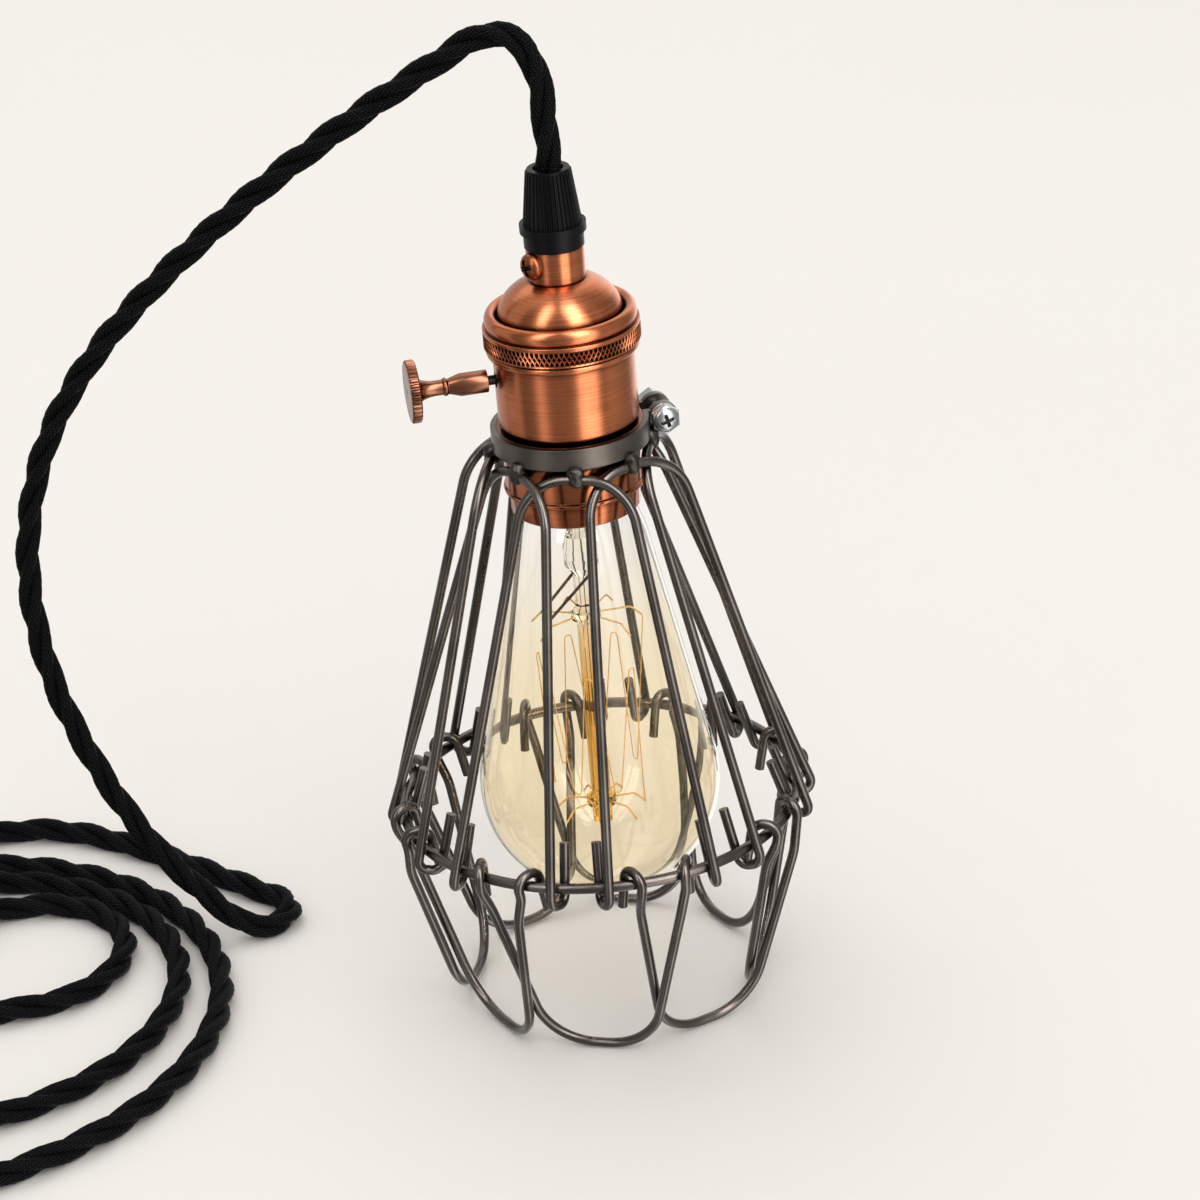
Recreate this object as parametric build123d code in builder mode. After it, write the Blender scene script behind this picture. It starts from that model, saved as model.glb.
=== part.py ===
import os
from math import acos, asin, atan2, cos, degrees, hypot, radians, sin, sqrt, tan

from build123d import *

os.makedirs("parts", exist_ok=True)

# Cage of bent wire: sizes in millimetres, azimuths in degrees from +X, seen from above
wire = 2.6
ring_wire = 2.8
ring_radius = 52.7
ring_height = 56.2
cage_rise = 102.3
leaf_count = 8
cage_turn = 27.8
band_turn = 9.0
hairpin_foot_angle = 38.5
hairpin_top_half = 12.6
hairpin_top_bend = 13.0
hairpin_sidestep = 3.5
hairpin_hook_drop = 4.6
hairpin_tail = 11.5
hairpin_hook_clearance = 0.2
hairpin_hook_turn = 22.0
petal_foot_angle = 30.3
petal_floor_radius = 38.2
petal_foot_half = 13.6
petal_bend = 15.4
petal_sidestep = 1.75
petal_neck_drop = 2.0
petal_neck_bend = 8.0
petal_knee_drop = 9.0
petal_knee_bend = 18.0
petal_tail = 9.0
petal_hook_clearance = 0.3
hook_tightness = 0.9

# Steel clamp band with two ears, drawn together by a bolt
band_play = 0.8
band_thickness = 1.5
band_height = 5.6
ear_azimuth = 6.0
ear_gap = 5.0
ear_lobe_radius = 4.0
ear_lobe_rise = 0.5
bolt_offset = 3.5
bolt_diameter = 4.0
bolt_hole_clearance = 0.1
hex_across_flats = 7.0
hex_head_height = 2.8
hex_crown = 0.6
nut_height = 3.2
washer_radius = 3.8
washer_thickness = 0.8
bolt_spare = 1.5
clip_radius = 1.9
clip_grip = 1.75
clip_bore_clearance = 0.05
wire_below_band = 2.6

# Copper lampholder: lower shell, shell, knurled collar, domed cap and neck
sheet = 0.8
fit_gap = 0.1
lower_shell_inset = 0.4
lower_bead_step = 0.6
lower_bead_height = 1.6
rim_height = 5.6
rim_wall = 1.0
rim_below_band = 17.6
shell_flange = 2.4
shell_edge = 0.9
shell_gap = 0.9
shell_visible = 19.3
collar_lip_wall = 0.75
collar_lip_height = 2.3
knurl_step = 1.15
knurl_height = 4.6
knurl_chamfer = 0.35
bead_inset = 0.6
bead_width = 3.15
bead_height = 4.2
dome_gap = 0.4
dome_skirt = 2.6
dome_rise = 9.4
dome_flange = 1.0
neck_radius = 7.4
neck_height = 8.7
neck_lead = 0.3
nipple_radius = 5.0
nipple_below = 6.5
nipple_above = 6.0
nipple_nut_flats = 12.0
nipple_nut_height = 3.0
set_screw_azimuth = 208.0
set_screw_height = 4.9
set_screw_shank = 4.0
set_screw_head = 6.9
set_screw_crown = 2.5
cross_slot_width = 1.0
cross_slot_depth = 1.0
cross_slot_length = 4.6

# Ribbed cord grip
grip_lip_radius = 7.65
grip_lip_height = 3.9
grip_flange_radius = 8.45
grip_flange_height = 2.2
grip_base_radius = 7.5
grip_top_radius = 5.85
grip_cone_height = 14.3
grip_ribs = 36
grip_rib_depth = 0.45
grip_edge = 0.6
cord_clearance = 0.4

# Turn switch with a serrated knob
knob_above_shell = 13.0
shaft_diameter = 2.5
shaft_inner_reach = 8.0
shaft_clearance = 0.05
shaft_hole_gap = 0.9
shaft_reach = 35.6
ferrule_radius = 2.95
ferrule_start = 20.2
ferrule_length = 7.0
stalk_radius = 2.0
stalk_bead_radius = 2.4
stalk_bead_start = 30.3
stalk_bead_length = 1.5
flare_start = 33.4
root_radius = 3.85
disc_start = 38.1
disc_radius = 8.1
disc_thickness = 2.6
disc_teeth = 36
disc_tooth_depth = 0.4
disc_dot_radius = 0.5
disc_dot_depth = 0.3

# Insulated inner parts of the lampholder
sleeve_wall = 0.45
core_skirt_wall = 0.5
core_top_below = 2.2
core_skirt_start = 6.4
cap_clearance = 0.5
screw_shell_wall = 0.4
contact_width = 5.0
contact_length = 13.0
contact_thickness = 0.4
contact_gap = 0.3
terminal_pitch = 16.0
terminal_head_radius = 2.8
terminal_head_height = 1.8
terminal_shank_radius = 1.6
terminal_shank_length = 4.0

# Pear-shaped bulb
bulb_radius = 32.0
bulb_depth = 30.1
bulb_length = 142.0
glass_wall = 1.0
cap_radius = 13.2
cap_length = 24.0
cap_insulator_height = 2.0
cap_insulator_radius = 8.5
tip_radius = 4.8
tip_height = 1.0
glass_neck_radius = 16.6
glass_neck_drop = 6.0
stem_radius = 2.6
stem_flare_gap = 0.02
stem_flare_drop = 9.0
press_radius = 4.6
press_drop = 18.0
hub_below_press = 14.4
hub_spacing = 55.0
rod_past_hub = 4.0
hub_radius = 3.9
hub_height = 4.4
hook_wire = 0.5
hook_count = 7
upper_hook_reach = 15.0
lower_hook_reach = 12.0
hook_droop = 3.0
lead_wire = 0.8
lead_spread = 3.0
lead_turn = 200.0
filament_wire = 0.3

# Cord of 7 mm, and the plug on its far end
cord_diameter = 7.0
cord_seat_depth = 9.0
plug_length = 37.0
plug_width = 22.0
plug_height = 16.0
plug_nose_width = 12.0
plug_nose_height = 12.0
plug_edge = 3.0
pin_diameter = 4.0
pin_length = 19.0
pin_pitch = 12.0

# Heights and radii worked out from the sizes above
screw_shell_inner = cap_radius + cap_clearance
screw_shell_outer = screw_shell_inner + screw_shell_wall
core_skirt_inner = screw_shell_outer + fit_gap
core_skirt_outer = core_skirt_inner + core_skirt_wall
neck_in_shell = core_skirt_outer + sheet + 2 * fit_gap
shell_radius = neck_in_shell + shell_flange
shell_inner = shell_radius - sheet
core_radius = shell_inner - sleeve_wall - 2 * fit_gap
lower_shell_radius = shell_radius - lower_shell_inset
lower_bead_radius = lower_shell_radius + lower_bead_step
rim_radius = lower_shell_radius - sheet - fit_gap
collar_inner = shell_radius + fit_gap
collar_lip_radius = collar_inner + collar_lip_wall
knurl_radius = collar_lip_radius + knurl_step
bead_outer_radius = knurl_radius - bead_inset
bead_inner_radius = bead_outer_radius - bead_width
dome_radius = bead_inner_radius - dome_gap
band_inner_radius = shell_radius + band_play
band_outer_radius = band_inner_radius + band_thickness
band_bottom = ring_height + cage_rise
band_middle = band_bottom + band_height / 2
band_top = band_bottom + band_height
shell_bottom = band_top + shell_gap
collar_bottom = shell_bottom + shell_visible
knurl_bottom = collar_bottom + collar_lip_height
knurl_top = knurl_bottom + knurl_height
bead_top = knurl_top + bead_height
shell_top = knurl_top - dome_flange - fit_gap
dome_spring = knurl_top + dome_skirt
crown = dome_spring + dome_rise
neck_top = crown + neck_height
grip_flange_bottom = neck_top + grip_lip_height
grip_cone_bottom = grip_flange_bottom + grip_flange_height
grip_top = grip_cone_bottom + grip_cone_height
cord_bore_radius = cord_diameter / 2 + cord_clearance
knob_height = shell_bottom + knob_above_shell
rim_bottom = band_bottom - rim_below_band
bulb_top = rim_bottom + bulb_depth
bulb_bottom = bulb_top - bulb_length
bulb_middle = bulb_bottom + bulb_radius
cap_top = bulb_top - tip_height - cap_insulator_height
cap_bottom = cap_top - cap_length
glass_neck = cap_bottom - glass_neck_drop
flare_top = cap_bottom + fit_gap
press_low = flare_top - press_drop - stem_radius
upper_hub_height = press_low - hub_below_press
lower_hub_height = upper_hub_height - hub_spacing
core_bottom = rim_bottom + core_skirt_start
core_top = shell_top - core_top_below
contact_height = bulb_top + contact_gap
core_floor = contact_height + contact_thickness + fit_gap
cord_seat = grip_top - cord_seat_depth


def around(azimuth, out, along, height):
    # Point at a distance out from the lamp's axis and along the tangent, to the right seen from outside
    a = radians(azimuth)
    return Vector(out * cos(a) - along * sin(a), out * sin(a) + along * cos(a), height)


def leaf_azimuth(number):
    return cage_turn + number * 360 / leaf_count


def finish(part, name):
    part.label = name
    export_step(part, f"parts/{name}.step")


def tube(path, diameter):
    # Round wire or cord along a path of straight runs and arcs
    with BuildPart() as made:
        with BuildLine():
            add(path)
        with BuildSketch(Plane(origin=path @ 0, z_dir=path % 0)):
            Circle(diameter / 2)
        sweep()
    return made.part


def turned(profile):
    # Solid of revolution about the lamp's axis, from points of radius and height
    with BuildPart() as made:
        with BuildSketch(Plane.XZ):
            with BuildLine():
                Polyline(*profile, close=True)
            make_face()
        revolve(axis=Axis.Z)
    return made.part


def pipe(inner, outer, low, high):
    return turned([(inner, low), (outer, low), (outer, high), (inner, high)])


def hook_frame(azimuth, lean):
    # Directions at a point of the ring: out of the wire's plane, and up along the leaning wire
    out = around(azimuth, cos(lean), 0, sin(lean))
    up = around(azimuth, -sin(lean), 0, cos(lean))
    return out, up


# Upper wires: hairpins that hang from the band, with a hook at each foot that holds the ring from below
hairpin_hook = (wire + ring_wire) / 2 + hairpin_hook_clearance
wire_top = band_bottom - wire_below_band
hairpin_top_radius = band_inner_radius + band_thickness
top_corner_radius = hypot(hairpin_top_radius, hairpin_top_half)
hairpin_lean = atan2(ring_radius + hairpin_hook - top_corner_radius, wire_top - ring_height)


def hairpin_foot(azimuth, side):
    # Hook about the ring, turned so that its free end leans away from the hairpin's middle
    seat = around(azimuth, ring_radius, 0, ring_height)
    out, up = hook_frame(azimuth, hairpin_lean)
    sideways = around(azimuth, 0, side, 0) * tan(radians(hairpin_hook_turn))
    inner = seat - (out - sideways) * hairpin_hook
    outer = seat + (out - sideways) * hairpin_hook
    return [inner + up * hairpin_tail, inner - up * hairpin_hook_drop, outer - up * hairpin_hook_drop]


def hairpin_route(number):
    middle = leaf_azimuth(number)
    top = middle + band_turn
    left_foot = hairpin_foot(middle - hairpin_foot_angle, -1)
    right_foot = hairpin_foot(middle + hairpin_foot_angle, 1)
    left_top = around(top, hairpin_top_radius - hairpin_sidestep, -hairpin_top_half, wire_top)
    right_top = around(top, hairpin_top_radius + hairpin_sidestep, hairpin_top_half, wire_top)
    return left_foot + [left_top, right_top] + right_foot[::-1]


def hairpin_path(number):
    hook_bend = hook_tightness * hairpin_hook
    bends = [hook_bend, hook_bend, hairpin_top_bend, hairpin_top_bend, hook_bend, hook_bend]
    return FilletPolyline(*hairpin_route(number), radius=bends)


for number in range(leaf_count):
    finish(tube(hairpin_path(number), wire), f"upper_wire_{number + 1}")

# Ring between the upper and the lower wires
with BuildPart() as cage_ring:
    with BuildSketch(Plane.XZ):
        with Locations((ring_radius, ring_height)):
            Circle(ring_wire / 2)
    revolve(axis=Axis.Z)
finish(cage_ring.part, "cage_ring")

# Lower wires: petals that hinge on the ring by a hook at each end, and that the lamp stands on
petal_chord = ring_radius * cos(radians(petal_foot_angle))
petal_half = ring_radius * sin(radians(petal_foot_angle))
petal_hook = ((wire + ring_wire) / 2 + petal_hook_clearance) / cos(radians(petal_foot_angle))
petal_inset = petal_chord - petal_floor_radius
petal_depth = ring_height - wire / 2
petal_reach = hypot(petal_inset, petal_depth)
petal_length = sqrt(petal_reach**2 - petal_hook**2)
petal_lean = atan2(petal_inset, petal_depth) + atan2(petal_hook, petal_length)


def petal_point(number, along, out, down):
    # Point of a petal from its hinge line: along it, out of the petal's plane, and down the petal
    radius = petal_chord + out * cos(petal_lean) - down * sin(petal_lean)
    height = ring_height - out * sin(petal_lean) - down * cos(petal_lean)
    return around(leaf_azimuth(number), radius, along, height)


def petal_leg(number, side):
    # One leg from the hook's free end to the foot; the right leg passes outside the next petal's left one
    step = side * petal_sidestep
    share = (petal_knee_drop - petal_neck_drop) / (petal_length - petal_neck_drop)
    knee_half = petal_half + (petal_foot_half - petal_half) * share
    return [
        petal_point(number, side * petal_half, -petal_hook, petal_tail),
        petal_point(number, side * petal_half, -petal_hook, -petal_hook),
        petal_point(number, side * petal_half, petal_hook, -petal_hook),
        petal_point(number, side * petal_half, petal_hook, petal_neck_drop),
        petal_point(number, side * knee_half, petal_hook + step, petal_knee_drop),
        petal_point(number, side * petal_foot_half, petal_hook + step, petal_length - step * tan(petal_lean)),
    ]


def petal_route(number):
    return petal_leg(number, -1) + petal_leg(number, 1)[::-1]


def petal_path(number):
    hook_bend = hook_tightness * petal_hook
    bends = [hook_bend, hook_bend, petal_neck_bend, petal_knee_bend, petal_bend]
    return FilletPolyline(*petal_route(number), radius=bends + bends[::-1])


for number in range(leaf_count):
    finish(tube(petal_path(number), wire), f"lower_wire_{number + 1}")

# Clamp band: an open ring whose ends turn out into two lobed ears
bolt_radius = band_outer_radius + bolt_offset
bolt_height = band_middle + ear_lobe_rise
ear_face = ear_gap / 2 + band_thickness
ear_root = sqrt((band_inner_radius + band_thickness / 2) ** 2 - (ear_gap / 2 + band_thickness / 2) ** 2)
ear_x = around(ear_azimuth, 1, 0, 0)
ear_y = around(ear_azimuth, 0, 1, 0)
band_plane = Plane(origin=(0, 0, band_bottom), x_dir=ear_x, z_dir=(0, 0, 1))
ear_plane = Plane(origin=(0, 0, band_middle), x_dir=ear_x, z_dir=ear_y * -1)
bolt_plane = Plane(origin=around(ear_azimuth, bolt_radius, 0, bolt_height), x_dir=ear_x, z_dir=ear_y * -1)
with BuildPart() as clamp_band:
    with BuildSketch(band_plane):
        Circle(band_outer_radius)
        Circle(band_inner_radius, mode=Mode.SUBTRACT)
        Rectangle(band_outer_radius, ear_gap, align=(Align.MIN, Align.CENTER), mode=Mode.SUBTRACT)
    extrude(amount=band_height)
    for ear_start in (ear_gap / 2, -ear_face):
        with BuildSketch(ear_plane.offset(ear_start)):
            with Locations((ear_root, 0)):
                Rectangle(bolt_radius - ear_root, band_height, align=(Align.MIN, Align.CENTER))
            with Locations((bolt_radius, bolt_height - band_middle)):
                Circle(ear_lobe_radius)
                Circle(bolt_diameter / 2 + bolt_hole_clearance, mode=Mode.SUBTRACT)
        extrude(amount=band_thickness)
finish(clamp_band.part, "clamp_band")

# Washer, hexagon bolt with a cross recess, and nut
washer_face = ear_face + washer_thickness
with BuildPart() as clamp_washer:
    with BuildSketch(bolt_plane.offset(ear_face)):
        Circle(washer_radius)
        Circle(bolt_diameter / 2 + bolt_hole_clearance, mode=Mode.SUBTRACT)
    extrude(amount=washer_thickness)
finish(clamp_washer.part, "clamp_washer")

with BuildPart() as clamp_bolt:
    with BuildSketch(bolt_plane.offset(washer_face)):
        RegularPolygon(hex_across_flats / 2, 6, major_radius=False, rotation=30)
    extrude(amount=hex_head_height)
    chamfer(clamp_bolt.faces().sort_by(Axis(bolt_plane.origin, bolt_plane.z_dir))[-1].edges(), hex_crown)
    with BuildSketch(bolt_plane.offset(washer_face)):
        Circle(bolt_diameter / 2)
    extrude(amount=-(washer_face + ear_face + nut_height + bolt_spare))
    with BuildSketch(bolt_plane.offset(washer_face + hex_head_height)):
        Rectangle(cross_slot_length, cross_slot_width)
        Rectangle(cross_slot_width, cross_slot_length)
    extrude(amount=-cross_slot_depth, mode=Mode.SUBTRACT)
finish(clamp_bolt.part, "clamp_bolt")

with BuildPart() as clamp_nut:
    with BuildSketch(bolt_plane.offset(-ear_face)):
        RegularPolygon(hex_across_flats / 2, 6, major_radius=False, rotation=30)
        Circle(bolt_diameter / 2 + bolt_hole_clearance, mode=Mode.SUBTRACT)
    extrude(amount=-nut_height)
finish(clamp_nut.part, "clamp_nut")

# Clips under the band, one round the top of each upper wire
with BuildPart() as band_clips:
    for number in range(leaf_count):
        top = leaf_azimuth(number) + band_turn
        seat = around(top, hairpin_top_radius, 0, wire_top)
        run = around(top, hairpin_sidestep, hairpin_top_half, 0)
        with BuildSketch(Plane(origin=seat + Vector(0, 0, band_bottom - wire_top), z_dir=(0, 0, -1))):
            Circle(clip_radius)
        extrude(amount=band_bottom - wire_top + clip_grip)
        with BuildSketch(Plane(origin=seat, z_dir=run)):
            Circle(wire / 2 + clip_bore_clearance)
        extrude(amount=clip_radius * 2, both=True, mode=Mode.SUBTRACT)
finish(band_clips.part, "band_clips")

# Lower shell with its thread belt under the band, and a flange that rests in the shell above
belt_radius = band_inner_radius - fit_gap / 2
rim_top = rim_bottom + rim_height
bead_low = rim_top - lower_bead_height / 2
flange_low = shell_bottom + sheet + 2 * fit_gap
lower_inner = lower_shell_radius - sheet
with BuildPart() as lower_shell:
    with BuildSketch(Plane.XZ):
        with BuildLine():
            bead_start = (lower_shell_radius, rim_top)
            bead_end = (lower_shell_radius, rim_top + lower_bead_height)
            ThreePointArc(bead_start, (lower_bead_radius, rim_top + lower_bead_height / 2), bead_end)
            Polyline(
                bead_end,
                (lower_shell_radius, band_bottom),
                (belt_radius, band_bottom),
                (belt_radius, band_top),
                (neck_in_shell - fit_gap, band_top),
                (neck_in_shell - fit_gap, flange_low),
                (neck_in_shell + sheet / 2, flange_low),
                (neck_in_shell + sheet / 2, flange_low + sheet),
                (neck_in_shell - fit_gap - sheet, flange_low + sheet),
                (neck_in_shell - fit_gap - sheet, band_top - sheet),
                (lower_inner, band_top - sheet),
                (lower_inner, rim_top),
                bead_start,
            )
        make_face()
    revolve(axis=Axis.Z)
finish(lower_shell.part, "lower_shell")

# Rim ring that closes the lower shell round the bulb's neck
with BuildPart() as rim_ring:
    add(pipe(rim_radius - rim_wall, rim_radius, rim_bottom, rim_top + lower_bead_height))
    fillet(rim_ring.edges().filter_by(GeomType.CIRCLE).group_by(Axis.Z)[0], rim_wall * 0.4)
finish(rim_ring.part, "rim_ring")

# Shell, rolled in at its lower edge, with the hole that the switch shaft comes out of
with BuildPart() as socket_shell:
    with BuildSketch(Plane.XZ):
        with BuildLine():
            mouth = (neck_in_shell, shell_bottom)
            edge_start = (shell_radius - shell_edge, shell_bottom)
            edge_end = (shell_radius, shell_bottom + shell_edge)
            Line(mouth, edge_start)
            RadiusArc(edge_start, edge_end, -shell_edge)
            Polyline(
                edge_end,
                (shell_radius, shell_top),
                (shell_inner, shell_top),
                (shell_inner, shell_bottom + sheet),
                (neck_in_shell, shell_bottom + sheet),
                mouth,
            )
        make_face()
    revolve(axis=Axis.Z)
    with BuildSketch(Plane(origin=(0, 0, knob_height), z_dir=(-1, 0, 0))):
        Circle(shaft_diameter / 2 + shaft_hole_gap)
    extrude(amount=shell_radius * 2, mode=Mode.SUBTRACT)
finish(socket_shell.part, "socket_shell")

# Insulating sleeve inside the shell
sleeve_outer = shell_inner - fit_gap
with BuildPart() as insulating_sleeve:
    add(pipe(sleeve_outer - sleeve_wall, sleeve_outer, edge_end[1] + fit_gap, shell_top))
    with BuildSketch(Plane(origin=(0, 0, knob_height), z_dir=(-1, 0, 0))):
        Circle(shaft_diameter / 2 + shaft_hole_gap)
    extrude(amount=shell_radius * 2, mode=Mode.SUBTRACT)
finish(insulating_sleeve.part, "insulating_sleeve")

# Collar: plain lip, straight band that carries the knurl, and a rolled bead that holds the cap down
bead_middle = (bead_outer_radius + bead_inner_radius) / 2
with BuildPart() as collar_ring:
    with BuildSketch(Plane.XZ):
        with BuildLine():
            outline = [
                (bead_inner_radius, knurl_top),
                (collar_inner, knurl_top),
                (collar_inner, collar_bottom),
                (collar_lip_radius, collar_bottom),
                (collar_lip_radius, knurl_bottom),
                (knurl_radius - knurl_chamfer, knurl_bottom),
                (knurl_radius, knurl_bottom + knurl_chamfer),
                (knurl_radius, knurl_top - knurl_chamfer),
                (knurl_radius - knurl_chamfer, knurl_top),
                (bead_outer_radius - knurl_chamfer, knurl_top),
            ]
            Polyline(*outline)
            bead_crown = (bead_middle, bead_top)
            ThreePointArc(outline[-1], (bead_outer_radius, knurl_top + bead_height * 0.45), bead_crown)
            bead_turn = (bead_inner_radius, knurl_top + bead_height * 0.5)
            RadiusArc(bead_crown, bead_turn, -(bead_outer_radius - bead_inner_radius) * 0.75)
            Line(bead_turn, outline[0])
        make_face()
    revolve(axis=Axis.Z)
finish(collar_ring.part, "collar_ring")

# Domed cap: a flange under the bead, a straight skirt and an elliptical dome with a flat crown
dome_inner = dome_radius - sheet
flange_radius = collar_inner - fit_gap
nipple_hole = nipple_radius + fit_gap / 2
crown_angle = degrees(acos(neck_radius / dome_radius))
dome_height = dome_rise / sin(radians(crown_angle))
inner_angle = degrees(asin((dome_rise - sheet) / (dome_height - sheet)))
with BuildPart() as socket_cap:
    with BuildSketch(Plane.XZ):
        with BuildLine():
            dome_start = (0, dome_spring)
            outside = EllipticalCenterArc(dome_start, dome_radius, dome_height, 0, arc_size=crown_angle)
            inside = EllipticalCenterArc(dome_start, dome_inner, dome_height - sheet, 0, arc_size=inner_angle)
            Polyline(outside @ 1, (nipple_hole, crown), (nipple_hole, crown - sheet), inside @ 1)
            Polyline(
                inside @ 0,
                (dome_inner, shell_top + fit_gap),
                (flange_radius, shell_top + fit_gap),
                (flange_radius, knurl_top - fit_gap / 2),
                (dome_radius, knurl_top - fit_gap / 2),
                outside @ 0,
            )
        make_face()
    revolve(axis=Axis.Z)
finish(socket_cap.part, "socket_cap")

# Threaded tube that joins cap, neck and grip, and the nut that holds it under the crown
nipple_low = crown - nipple_below
finish(pipe(cord_bore_radius, nipple_radius, nipple_low, neck_top + nipple_above), "grip_nipple")

with BuildPart() as nipple_nut:
    with BuildSketch(Plane.XY.offset(crown - sheet)):
        RegularPolygon(nipple_nut_flats / 2, 6, major_radius=False)
        Circle(nipple_hole, mode=Mode.SUBTRACT)
    extrude(amount=-nipple_nut_height)
finish(nipple_nut.part, "nipple_nut")

# Neck with the tapped hole of its set screw
screw_height = crown + set_screw_height
screw_plane = Plane(
    origin=(0, 0, screw_height),
    x_dir=around(set_screw_azimuth, 0, 1, 0),
    z_dir=around(set_screw_azimuth, 1, 0, 0),
)
with BuildPart() as cap_neck:
    add(pipe(nipple_hole, neck_radius, crown, neck_top))
    fillet(cap_neck.edges().filter_by(GeomType.CIRCLE).group_by(Axis.Z)[0].sort_by(SortBy.RADIUS)[-1], neck_lead)
    with BuildSketch(screw_plane):
        Circle((set_screw_shank + fit_gap) / 2)
    extrude(amount=neck_radius * 2, mode=Mode.SUBTRACT)
finish(cap_neck.part, "cap_neck")

# Set screw: a rounded head with a cross slot, its tip against the threaded tube
head_half = set_screw_head / 2
with BuildPart() as set_screw:
    with BuildSketch(Plane(origin=screw_plane.origin, x_dir=screw_plane.x_dir, z_dir=(0, 0, 1))):
        with BuildLine():
            head_edge = (head_half, -neck_radius)
            Line((0, -nipple_hole), (set_screw_shank / 2, -nipple_hole))
            Line((set_screw_shank / 2, -nipple_hole), (set_screw_shank / 2, -neck_radius))
            Line((set_screw_shank / 2, -neck_radius), head_edge)
            EllipticalCenterArc((0, -neck_radius), head_half, set_screw_crown, 270, arc_size=90)
            Line((0, -neck_radius - set_screw_crown), (0, -nipple_hole))
        make_face()
    revolve(axis=Axis(screw_plane.origin, screw_plane.z_dir))
    with BuildSketch(screw_plane.offset(neck_radius + set_screw_crown)):
        Rectangle(cross_slot_length, cross_slot_width)
        Rectangle(cross_slot_width, cross_slot_length)
    extrude(amount=-cross_slot_depth, mode=Mode.SUBTRACT)
finish(set_screw.part, "set_screw")


def toothed(teeth, tip, root):
    # Closed outline of flat-topped teeth round a circle
    pitch = 360 / teeth
    corners = []
    for tooth in range(teeth):
        for share, radius in ((0, root), (0.25, tip), (0.5, tip), (0.75, root)):
            angle = radians((tooth + share) * pitch)
            corners.append((radius * cos(angle), radius * sin(angle)))
    return corners


# Cord grip: lip, flange and a ribbed cone, bored for the cord and counterbored for the threaded tube
with BuildPart() as cord_grip:
    ribs_top = grip_top - grip_edge
    for height, radius in ((grip_cone_bottom, grip_base_radius), (ribs_top, grip_top_radius)):
        with BuildSketch(Plane.XY.offset(height)):
            with BuildLine():
                Polyline(*toothed(grip_ribs, radius, radius - grip_rib_depth), close=True)
            make_face()
    loft(ruled=True)
    add(pipe(cord_bore_radius, grip_top_radius - grip_rib_depth, ribs_top, grip_top))
    add(pipe(nipple_hole, grip_flange_radius, grip_flange_bottom, grip_cone_bottom))
    add(pipe(nipple_hole, grip_lip_radius, neck_top, grip_flange_bottom))
    with BuildSketch(Plane.XY.offset(neck_top)):
        Circle(nipple_hole)
    extrude(amount=nipple_above + fit_gap, mode=Mode.SUBTRACT)
    with BuildSketch(Plane.XY.offset(neck_top)):
        Circle(cord_bore_radius)
    extrude(amount=grip_top - neck_top, mode=Mode.SUBTRACT)
finish(cord_grip.part, "cord_grip")

# Insulating core: a skirt round the screw shell under a solid switch block
with BuildPart() as lampholder_core:
    step_height = flange_low + sheet + fit_gap
    add(
        turned(
            [
                (core_skirt_inner, core_bottom),
                (core_skirt_outer, core_bottom),
                (core_skirt_outer, step_height),
                (core_radius, step_height + shell_edge),
                (core_radius, core_top),
                (0, core_top),
                (0, core_floor),
                (core_skirt_inner, core_floor),
            ]
        )
    )
    with BuildSketch(Plane(origin=(0, 0, knob_height), z_dir=(-1, 0, 0))):
        Circle(shaft_diameter / 2 + shaft_clearance)
    extrude(amount=shell_radius * 2, mode=Mode.SUBTRACT)
    with BuildSketch(Plane.XY.offset(core_top)):
        with GridLocations(0, terminal_pitch, 1, 2):
            Circle(terminal_shank_radius + shaft_clearance)
    extrude(amount=-terminal_shank_length, mode=Mode.SUBTRACT)
finish(lampholder_core.part, "lampholder_core")

with BuildPart() as terminal_screws:
    with BuildSketch(Plane.XY.offset(core_top)):
        with GridLocations(0, terminal_pitch, 1, 2):
            Circle(terminal_head_radius)
    extrude(amount=terminal_head_height)
    with BuildSketch(Plane.XY.offset(core_top)):
        with GridLocations(0, terminal_pitch, 1, 2):
            Circle(terminal_shank_radius)
    extrude(amount=-terminal_shank_length)
finish(terminal_screws.part, "terminal_screws")

# Brass screw shell that the bulb's cap turns into, and the centre contact
shell_mouth = core_bottom
contact_window = hypot(contact_length, contact_width) / 2 + contact_gap
finish(
    turned(
        [
            (screw_shell_inner, shell_mouth),
            (screw_shell_outer, shell_mouth),
            (screw_shell_outer, core_floor - fit_gap / 2),
            (contact_window, core_floor - fit_gap / 2),
            (contact_window, core_floor - fit_gap / 2 - screw_shell_wall),
            (screw_shell_inner, core_floor - fit_gap / 2 - screw_shell_wall),
        ]
    ),
    "screw_shell",
)

with BuildPart() as centre_contact:
    with BuildSketch(Plane.XY.offset(contact_height)):
        Rectangle(contact_width, contact_length)
    extrude(amount=contact_thickness)
finish(centre_contact.part, "centre_contact")

# Switch shaft and the knob on its end
knob_axis = Axis((0, 0, knob_height), (-1, 0, 0))
with BuildPart() as switch_shaft:
    with BuildSketch(Plane(origin=(-shaft_inner_reach, 0, knob_height), z_dir=(-1, 0, 0))):
        Circle(shaft_diameter / 2)
    extrude(amount=shaft_reach - shaft_inner_reach)
finish(switch_shaft.part, "switch_shaft")

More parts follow.
